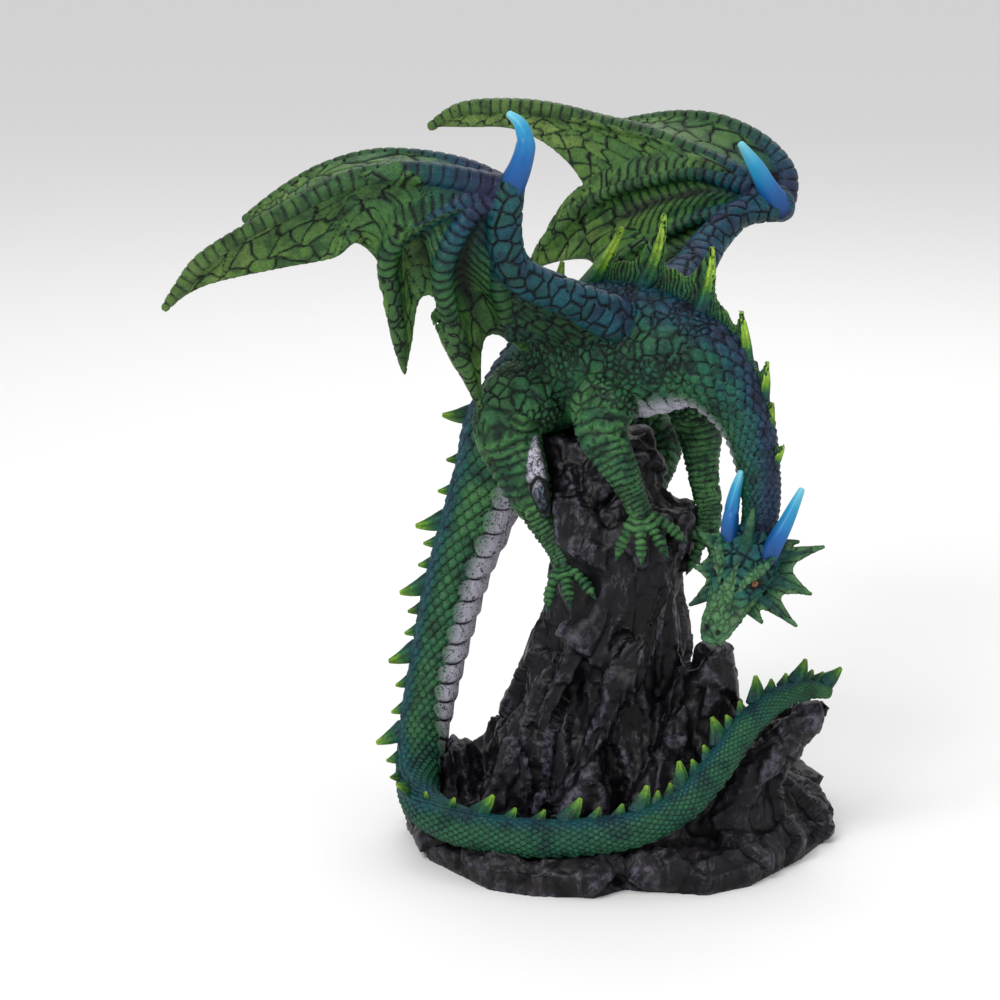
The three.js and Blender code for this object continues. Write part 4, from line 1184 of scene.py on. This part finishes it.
def makeCrag(look):
    piece = cast("rockBase", cragForms(look), look["voxel"], ease=1)
    places = placesOf(piece)
    normals = normalsOf(piece)
    # flat chips: inside each cell the stone is cut to its own slanted plane
    swirl = np.stack([drift(places / 26, 3.0 + k) for k in range(3)], 1) - 0.5
    total = np.zeros(len(places))
    line = np.full(len(places), 9.0)
    for size, depth, seed in look["chips"]:
        local = (places * np.array([1, 1, 0.55]) + 7 * swirl) / size
        border, mark, away = cells(local, seed)
        slope = np.stack([np.sin(mark * 97 + 1), np.sin(mark * 61 + 2), 0.8 * np.sin(mark * 43 + 4)], 1)
        total += depth * ((away * unit(slope)).sum(1) * 1.6 + 0.5 * (mark - 0.5))
        line = np.minimum(line, border * size * (1.0 if depth > 1 else 1.8))
    # streaks that run up the crag
    streak = places * np.array([0.085, 0.085, 0.02]) + 1.3 * swirl
    ridges = 1 - np.abs(2 * drift(streak, 5.0) - 1)
    fine = 1 - np.abs(2 * drift(streak * 3.1, 6.0) - 1)
    climb = smooth(14, 30, places[:, 2])
    total += climb * (3.2 * (ridges - 0.62) + 1.2 * (fine - 0.6)) + 0.12 * sway(places / 1.7, 9.0)
    total -= 0.6 * smooth(1.2, 0.0, line)
    # the stone stays under the feet
    for foot, reach in look["feet"]:
        sunk, fade, least = look["footing"]
        near = smooth(reach + fade, reach, distances(places, foot))
        total = np.where(places[:, 2] > least, total + (sunk - total) * near, total)
    total = np.clip(total, look["deepest"], look["highest"])
    moved = places + normals * (total * smooth(0.0, 4.0, places[:, 2]))[:, None]
    moved[:, 2] = np.maximum(moved[:, 2], 0)
    moved[places[:, 2] < 0.6, 2] = 0
    movePoints(piece, moved)
    carve = np.clip(0.5 + 0.5 * convexity(piece, 3), 0, 1)
    low = smooth(28, 6, places[:, 2])
    record(piece, carve=carve, line=line, tone=drift(places / 18, 4.0), pale=low)
    finished(piece, paints["stone"], ["rock_base"])


def aroundEach(field, edges):  # mean over each point's neighbours
    one, other = edges
    count = np.maximum(np.bincount(edges.ravel(), minlength=len(field)), 1)
    total = np.zeros_like(field)
    for k in range(field.shape[1]):
        total[:, k] = np.bincount(one, field[other, k], len(field))
        total[:, k] += np.bincount(other, field[one, k], len(field))
    return total / count[:, None]


def convexity(piece, rounds):  # how far each point stands proud of its neighbours, most of them from -1 to 1
    places = placesOf(piece)
    edges = edgesOf(piece)
    around = places
    for _ in range(rounds):
        around = aroundEach(around, edges)
    proud = ((places - around) * normalsOf(piece)).sum(1)
    proud = aroundEach(proud[:, None], edges)[:, 0]
    return proud / (np.percentile(np.abs(proud), 90) + 1e-6)


# paint: shader maths written as expressions

class Wire:  # a socket that sums with others
    def __init__(self, paint, socket):
        self.paint = paint
        self.socket = socket

    def maths(self, kind, *values):
        return self.paint.node("ShaderNodeMath", {"operation": kind}, dict(enumerate(values)))

    def __add__(self, other):
        return self.maths("ADD", self, other)

    def __radd__(self, other):
        return self.maths("ADD", other, self)

    def __sub__(self, other):
        return self.maths("SUBTRACT", self, other)

    def __rsub__(self, other):
        return self.maths("SUBTRACT", other, self)

    def __mul__(self, other):
        return self.maths("MULTIPLY", self, other)

    def __rmul__(self, other):
        return self.maths("MULTIPLY", other, self)

    def most(self, other):
        return self.maths("MAXIMUM", self, other)

    def clip(self):
        return self.paint.node("ShaderNodeClamp", {}, {"Value": self})

    def between(self, low, high):  # 0 below low, 1 above high, smooth between
        sockets = {"Value": self, "From Min": low, "From Max": high}
        return self.paint.node("ShaderNodeMapRange", {"interpolation_type": "SMOOTHSTEP"}, sockets)


class Paint:
    def __init__(self, name):
        self.material = bpy.data.materials.new(name)
        self.material.use_nodes = True
        self.tree = self.material.node_tree
        self.tree.nodes.clear()
        self.place = self.node("ShaderNodeTexCoord", {}, {}, "Object")

    def socket(self, among, key):  # by its number, its identifier or its name
        if isinstance(key, int):
            return among[key]
        return next(socket for socket in among if key in (socket.identifier, socket.name))

    def node(self, kind, settings, sockets, out=0):
        made = self.tree.nodes.new(kind)
        for key, value in settings.items():
            if key == "stops":
                ramp = made.color_ramp
                while len(ramp.elements) < len(value):
                    ramp.elements.new(0.5)
                for element, (position, colour) in zip(ramp.elements, value):
                    element.position = position
                    element.color = (*colour, 1)
            else:
                setattr(made, key, value)
        for key, value in sockets.items():
            socket = self.socket(made.inputs, key)
            if isinstance(value, Wire):
                self.tree.links.new(value.socket, socket)
            elif isinstance(value, tuple) and len(value) == 3 and socket.type == "RGBA":
                socket.default_value = (*value, 1)
            else:
                socket.default_value = value
        return Wire(self, self.socket(made.outputs, out))

    def guide(self, name):
        return self.node("ShaderNodeAttribute", {"attribute_name": name}, {}, "Fac")

    def noise(self, scale, detail=3, roughness=0.55, place=None, distortion=0.0):
        sockets = {"Vector": place or self.place, "Scale": scale, "Detail": detail}
        sockets.update({"Roughness": roughness, "Distortion": distortion})
        return self.node("ShaderNodeTexNoise", {}, sockets, "Fac")

    def cracks(self, scale):
        sockets = {"Vector": self.place, "Scale": scale}
        return self.node("ShaderNodeTexVoronoi", {"feature": "DISTANCE_TO_EDGE"}, sockets, "Distance")

    def stretched(self, scale):
        return self.node("ShaderNodeMapping", {}, {"Vector": self.place, "Scale": scale}, "Vector")

    def ramp(self, factor, stops):
        return self.node("ShaderNodeValToRGB", {"stops": stops}, {"Fac": factor}, "Color")

    def mix(self, factor, one, other, blend="MIX"):
        settings = {"data_type": "RGBA", "blend_type": blend}
        sockets = {"Factor_Float": factor, "A_Color": one, "B_Color": other}
        return self.node("ShaderNodeMix", settings, sockets, "Result_Color")

    def bump(self, height, strength, distance):
        sockets = {"Height": height, "Strength": strength, "Distance": distance}
        return self.node("ShaderNodeBump", {}, sockets, "Normal")

    def finish(self, colour, roughness, normal, specular):
        sockets = {"Base Color": colour, "Roughness": roughness, "Normal": normal}
        sockets["Specular IOR Level"] = specular
        shader = self.node("ShaderNodeBsdfPrincipled", {}, sockets, "BSDF")
        output = self.tree.nodes.new("ShaderNodeOutputMaterial")
        self.tree.links.new(shader.socket, output.inputs["Surface"])
        return self.material


greens = {
    "body": [
        (0.0, (0.08, 0.22, 0.06)), (0.3, (0.02, 0.105, 0.04)), (0.5, (0.007, 0.075, 0.048)),
        (0.7, (0.004, 0.062, 0.078)), (0.88, (0.006, 0.042, 0.085)), (1.0, (0.014, 0.03, 0.07)),
    ],
    "wing": [
        (0.0, (0.15, 0.24, 0.06)), (0.22, (0.06, 0.145, 0.03)), (0.45, (0.02, 0.09, 0.03)),
        (0.62, (0.008, 0.062, 0.052)), (0.82, (0.004, 0.058, 0.098)), (1.0, (0.02, 0.024, 0.075)),
    ],
    "crest": [
        (0.0, (0.006, 0.03, 0.05)), (0.25, (0.004, 0.06, 0.055)), (0.5, (0.014, 0.1, 0.035)),
        (0.72, (0.08, 0.22, 0.02)), (1.0, (0.24, 0.42, 0.04)),
    ],
    "horn": [
        (0.0, (0.006, 0.03, 0.14)), (0.35, (0.006, 0.1, 0.32)), (0.7, (0.02, 0.26, 0.46)),
        (1.0, (0.16, 0.5, 0.6)),
    ],
    "head": [
        (0.0, (0.13, 0.3, 0.11)), (0.35, (0.03, 0.14, 0.07)), (0.6, (0.01, 0.095, 0.075)),
        (0.85, (0.005, 0.07, 0.085)), (1.0, (0.006, 0.045, 0.09)),
    ],
}
resin = {
    "washAndShade": (0.002, 0.003, 0.003),
    "depth": 0.74,
    "belly": (0.5, 0.48, 0.57),
    "speckShade": (0.02, 0.02, 0.024),
    "rough": 0.42,
    "specular": 0.22,
    "grain": 1100,
    "mottle": 130,
    "line": (0.16, 0.5),
}


def dragonPaint(name, stops, look, drybrushHighlight=0.6):
    p = Paint(name)
    stops = [(place, tuple(part * look["depth"] for part in shade)) for place, shade in stops]
    tone, pale, carve, dark, line = (p.guide(key) for key in ("tone", "pale", "carve", "dark", "line"))
    mottle = p.noise(look["mottle"], 4)
    grain = p.noise(look["grain"], 2)
    coarse = p.noise(look["mottle"] * 3.2, 3)
    fibre = p.cracks(look["mottle"] * 5)
    colour = p.ramp(tone + (mottle - 0.5) * 0.3 + (coarse - 0.5) * 0.2, stops)
    # lit and shaded copies of the colour: the lit copy goes on raised parts as drybrush paint and painted
    # highlight together; the shaded copy is painted shade in the hollows and beside the lines, with mottled
    # patches
    light = p.mix(1.0, colour, (2.7, 2.4, 2.0), "MULTIPLY")
    colour = p.mix((carve.between(0.5, 1.0) * drybrushHighlight * coarse.between(0.38, 0.6)).clip(), colour, light)
    shade = p.mix(1.0, colour, (0.2, 0.23, 0.31), "MULTIPLY")
    hollow = (1 - carve).between(0.35, 0.95) * 0.85 + mottle.between(0.48, 0.64) * 0.6
    colour = p.mix((hollow + (1 - line.between(0.3, 1.3)) * 0.35).clip(), colour, shade)
    # dark specks on the pale belly, with painted shade in its hollows
    specksAndShade = grain.between(0.52, 0.6) * coarse.between(0.4, 0.56)
    specksAndShade = specksAndShade * 0.9 + (1 - carve).between(0.45, 0.95) * 0.45
    belly = p.mix(specksAndShade.clip(), look["belly"], look["speckShade"])
    colour = p.mix((pale * (0.85 + 0.4 * mottle)).clip(), colour, belly)
    # dark lines at the borders of scales and cells; under the free edges of the neck and tail scales they are
    # painted shadow
    crackAndShadow = 1 - (line + (coarse - 0.5) * 0.5).between(*look["line"])
    scratch = (1 - fibre.between(0.02, 0.07)) * coarse.between(0.5, 0.62) * 0.5
    dots = grain.between(0.6, 0.7) * coarse.between(0.45, 0.6) * 0.5
    # black wash and painted shade together: the lines, the dark guide, dots and scratches
    washAndShade = (crackAndShadow * 0.95 + dark * 0.85 + dots + scratch).clip()
    colour = p.mix(washAndShade, colour, look["washAndShade"])
    normal = p.bump(grain * 0.5 + coarse * 0.9 - crackAndShadow * 0.7 - scratch * 0.5, 0.7, 0.0009)
    return p.finish(colour, look["rough"] + 0.2 * washAndShade + 0.2 * (mottle - 0.5), normal, look["specular"])


def hornPaint(name, stops, look):
    p = Paint(name)
    rise = p.guide("tone")
    mottle = p.noise(look["mottle"], 3)
    streak = p.noise(260, 3, place=p.stretched((1.0, 1.0, 0.25)))
    colour = p.ramp(rise + (mottle - 0.5) * 0.12, stops)
    colour = p.mix((p.guide("dark") + streak.between(0.6, 0.8) * 0.2).clip(), colour, look["washAndShade"])
    return p.finish(colour, 0.34 + 0.1 * mottle, p.bump(streak, 0.25, 0.0004), 0.3)


def eyePaint(name):
    p = Paint(name)
    mottle = p.noise(900, 3)
    amber = [(0.4, (0.01, 0.004, 0.002)), (0.52, (0.14, 0.045, 0.008)), (0.7, (0.3, 0.12, 0.015))]
    colour = p.ramp(mottle, amber)
    return p.finish(colour, 0.2 + 0.1 * mottle, p.bump(mottle, 0.1, 0.0002), 0.6)


stone = {
    "black": (0.002, 0.002, 0.003),
    "grey": (0.008, 0.0075, 0.011),
    "brown": (0.042, 0.034, 0.034),
    "edge": (0.1, 0.094, 0.13),
    "deep": (0.003, 0.003, 0.004),
    "rough": 0.42,
    "specular": 0.2,
}


def stonePaint(name, look):
    p = Paint(name)
    carve, line, tone, low = (p.guide(key) for key in ("carve", "line", "tone", "pale"))
    broad = p.noise(28, 4)
    grain = p.noise(420, 4, 0.65)
    streak = p.noise(110, 5, 0.6, place=p.stretched((1.0, 1.0, 0.22)), distortion=0.6)
    colour = p.mix((broad.between(0.35, 0.7) * 0.7 + tone * 0.25).clip(), look["black"], look["grey"])
    earth = low * tone.between(0.45, 0.75) * streak.between(0.4, 0.7) * 0.7
    colour = p.mix(earth.clip(), colour, look["brown"])
    # raised edges take the pale edge colour, drybrush paint and painted highlight together
    drybrushAndHighlight = (carve.between(0.6, 1.0) * grain.between(0.38, 0.62) * streak.between(0.3, 0.62)).clip()
    veins = streak.between(0.57, 0.6) * (1 - streak.between(0.6, 0.63)) * grain.between(0.4, 0.58) * 0.45
    colour = p.mix((drybrushAndHighlight * 0.85).most(veins.clip()), colour, look["edge"])
    # painted shade in the hollows and in the grooves between the chips
    deep = (1 - carve).between(0.55, 0.9) * 0.7 + (1 - line.between(0.1, 0.7)) * 0.4
    colour = p.mix(deep.clip(), colour, look["deep"])
    normal = p.bump(grain * 0.35 + streak * 0.65, 0.55, 0.0012)
    return p.finish(colour, look["rough"] + 0.2 * (grain - 0.5), normal, look["specular"])


paints = {key: dragonPaint(key + "Paint", greens[key], resin) for key in ("body", "wing", "crest", "head")}
paints["horn"] = hornPaint("hornPaint", greens["horn"], resin)
paints["stone"] = stonePaint("stonePaint", stone)
paints["eye"] = eyePaint("eyePaint")
print("paint mixed")


# the pieces

def makeBody(look):
    forms = bodyForms(look)
    piece = cast("dragonBody", forms, look["voxel"], ease=4)
    places, found, zone = readBack(piece, forms)
    lift, line, tone, pale, proud, dark = bodyRelief(places, normalsOf(piece), found, zone, look)
    pushOut(piece, lift)
    record(piece, tone=tone, pale=pale, line=line, carve=proud, dark=dark)
    finished(piece, paints["body"])


def makeWing(name, wing, look):
    forms = wingForms(wing, look)
    piece = cast(name, forms, look["voxel"], ease=4)
    places, found, zone = readBack(piece, forms)
    lift, line, dark, mark = wingRelief(places, normalsOf(piece), found, zone, look)
    pushOut(piece, lift)
    away = distances(places, np.array(wing["fingers"][1][0][:3]))
    tone = 0.84 - 0.5 * smooth(2, 42, away) - 0.24 * smooth(40, 120, away) + 0.16 * (mark - 0.5)
    tone = np.where(found["number"] > 3.5, 0.5 + 0.1 * (mark - 0.5), tone)
    tone = np.where(zone["finger"], 1 - 0.62 * smooth(3, 55, away) - 0.2 * smooth(50, 120, away), tone)
    tone = np.where(zone["arm"], 0.8 + 0.16 * (mark - 0.5) + 0.1 * np.sin(found["turn"]), tone)
    record(piece, tone=tone, dark=dark, line=line, carve=np.clip(0.5 + lift / 0.7, 0, 1))
    finished(piece, paints["wing"])


def makeMane(look):
    forms = maneForms(look)
    piece = cast("mane", forms, look["maneVoxel"], ease=2)
    places, found, zone = readBack(piece, forms)
    rise = found["t"]
    strands = np.abs(np.sin(np.pi * (found["w"] * 15 + 1.6 * sway(places / 4, 2.0))))
    threads = 0.5 + 0.5 * np.cos(found["turn"] * 6 + 1.5 * drift(places / 4, 3.0)) * smooth(1, 0.85, rise)
    web = zone["web"]
    lift = np.where(web, 0.55 * (strands - 0.5) - 0.15, 0.35)
    pushOut(piece, lift)
    tone = np.where(web, 0.1 + 0.5 * rise + 0.2 * (strands - 0.5), 0.04 + 1.1 * smooth(0.02, 0.85, rise))
    carve = np.where(web, smooth(0.1, 0.7, strands), 0.45 + 0.55 * threads)
    line = np.where(web, 0.15 + 0.95 * strands, 0.75 + threads)
    record(piece, tone=tone, line=line, carve=carve, dark=np.where(web, 0.45 - 0.2 * rise, 0.0))
    finished(piece, paints["crest"])


def makeTailSpines(look):
    forms = tailForms(look)
    piece = sealed(joined("tailSpines", [rolledGrid("tailSpine", form["points"]) for form in forms]))
    places, found = readBack(piece, forms)[:2]
    rise = found["t"]
    threads = 0.5 + 0.5 * np.cos(found["turn"] * 5 + 1.5 * drift(places / 3, 3.0))
    pushOut(piece, 0.6 * (threads - 0.5) * (1 - rise))
    record(piece, tone=0.12 + 0.8 * rise, line=0.22 + threads + 0.4 * rise, carve=0.5 + 0.5 * threads)
    finished(piece, paints["crest"])


def makeHead(look):
    forms = headForms(look)
    piece = cast("head", forms, look["voxel"], ease=3)
    places, found, zone = readBack(piece, forms)
    skull, ridge = zone["skull"], zone["ridge"]
    frill = zone["frill"] | zone["frillWeb"]
    local = places - np.array(look["nape"])
    d, s, h = local @ look["ahead"], local @ look["side"], local @ look["crown"]
    border, mark = cells(places / look["plate"], 3.0, facing=normalsOf(piece))[:2]
    smallBorder = cells(places / look["bead"], 6.0, facing=normalsOf(piece))[0]
    muzzle = smooth(*look["muzzle"], d)
    groove = border * look["plate"]
    line = 2.3 * groove + 0.1 + 0.35 * muzzle
    web = zone["frillWeb"]
    fibre = np.abs(np.sin(np.pi * (found["w"] * 5 + 0.5 * sway(places / 3, 2.0)))) * 1.3 + 0.2
    line = np.where(web, fibre, line)
    line = np.where(ridge, 0.5 + 1.6 * smallBorder, np.where(zone["frill"], 0.6 + smallBorder, line))
    line = np.where(zone["spike"], 0.9, line)
    plates = (0.8 - 0.4 * muzzle) * (smooth(0, 1.2, groove) - 0.6) + (0.5 - 0.2 * muzzle) * (mark - 0.5)
    beads = 0.4 * (smooth(0, 0.9, smallBorder * look["bead"]) - 0.5)
    lift = np.where(skull, plates, np.where(ridge, beads, 0))
    lift = np.where(web, 0.35 * (smooth(0, 1.0, line) - 0.5), lift)
    dark = np.zeros(len(places))
    # painted shade darkens the nostril pits, the eye sockets and the mouth slit
    for side in (1, -1):
        flat = np.array([1, 1, 0.8])
        hole = onSide(look["nostril"], side)
        pit = smooth(look["nostril"][3], 0.3, np.linalg.norm((places - hole) * flat, axis=1))
        lift -= 0.9 * pit
        dark += pit
        hollow = smooth(4.2, 1.5, distances(places, onSide(look["eye"], side)))
        lift -= 1.3 * hollow * skull
        dark += 0.7 * hollow
        lip = rowsAt([(a, side * b, c) for a, b, c in look["mouth"]], np.linspace(0, 1, 60))
        gap = np.min(np.linalg.norm(np.stack([d, s, h], 1)[:, None] - lip[None], axis=2), axis=1)
        slit = smooth(0.9, 0.2, gap)
        lift -= 0.7 * slit
        dark += 0.8 * slit
    pushOut(piece, lift)
    tone = 0.64 + 0.2 * smooth(12, 2, d) - 0.46 * muzzle + 0.2 * (mark - 0.5)
    tone = np.where(ridge, 0.2 + 0.3 * smooth(14, 0, d), tone)
    tone = np.where(zone["spike"], 0.6 - 0.45 * found["t"], tone)
    tone = np.where(frill, 0.85 - 0.75 * found["t"] ** 1.3, tone)
    dark += np.where(web, 0.35, 0)
    carve = np.clip(0.55 + lift / 1.1, 0, 1)
    record(piece, tone=np.clip(tone, 0, 1), line=line, carve=carve, dark=np.clip(dark, 0, 1))
    finished(piece, paints["head"])


def makeEyes(look):
    eyes = []
    for side in (1, -1):
        place = onSide(look["eye"], side) * mm
        radius = look["eye"][3] * mm
        bpy.ops.mesh.primitive_uv_sphere_add(segments=32, ring_count=20, radius=radius, location=place)
        eyes.append(bpy.context.object)
    piece = joined("eyes", eyes)
    bpy.ops.object.transform_apply(location=True, rotation=True, scale=True)
    finished(piece, paints["eye"], nodes=())


def makeHorns(look):
    forms = [tube(headRows(rows), 28, 50, zone="horn") for rows in look["horns"]]
    for wing in (nearWing, farWing):
        forms.append(tube(wing["claw"], 28, 60, zone="claw"))
    piece = sealed(joined("horns", [rolledGrid("horn", form["points"]) for form in forms]))
    found = readBack(piece, forms)[1]
    rise = found["t"]
    waves = 0.12 * np.sin(found["turn"] * 4 + 3 * rise)
    pushOut(piece, 0.15 + waves)
    # the roots are darkened with painted shade where horns and claws meet the head and the wings
    record(piece, tone=rise, dark=smooth(0.12, 0.0, rise) * 0.6)
    finished(piece, paints["horn"])


makeBody(body)
makeTail(body)
makeWing("nearWing", nearWing, wingCarving)
makeWing("farWing", farWing, wingCarving)
makeMane(crest)
makeTailSpines(crest)
makeHead(head)
makeEyes(head)
makeHorns(head)
makeCrag(crag)
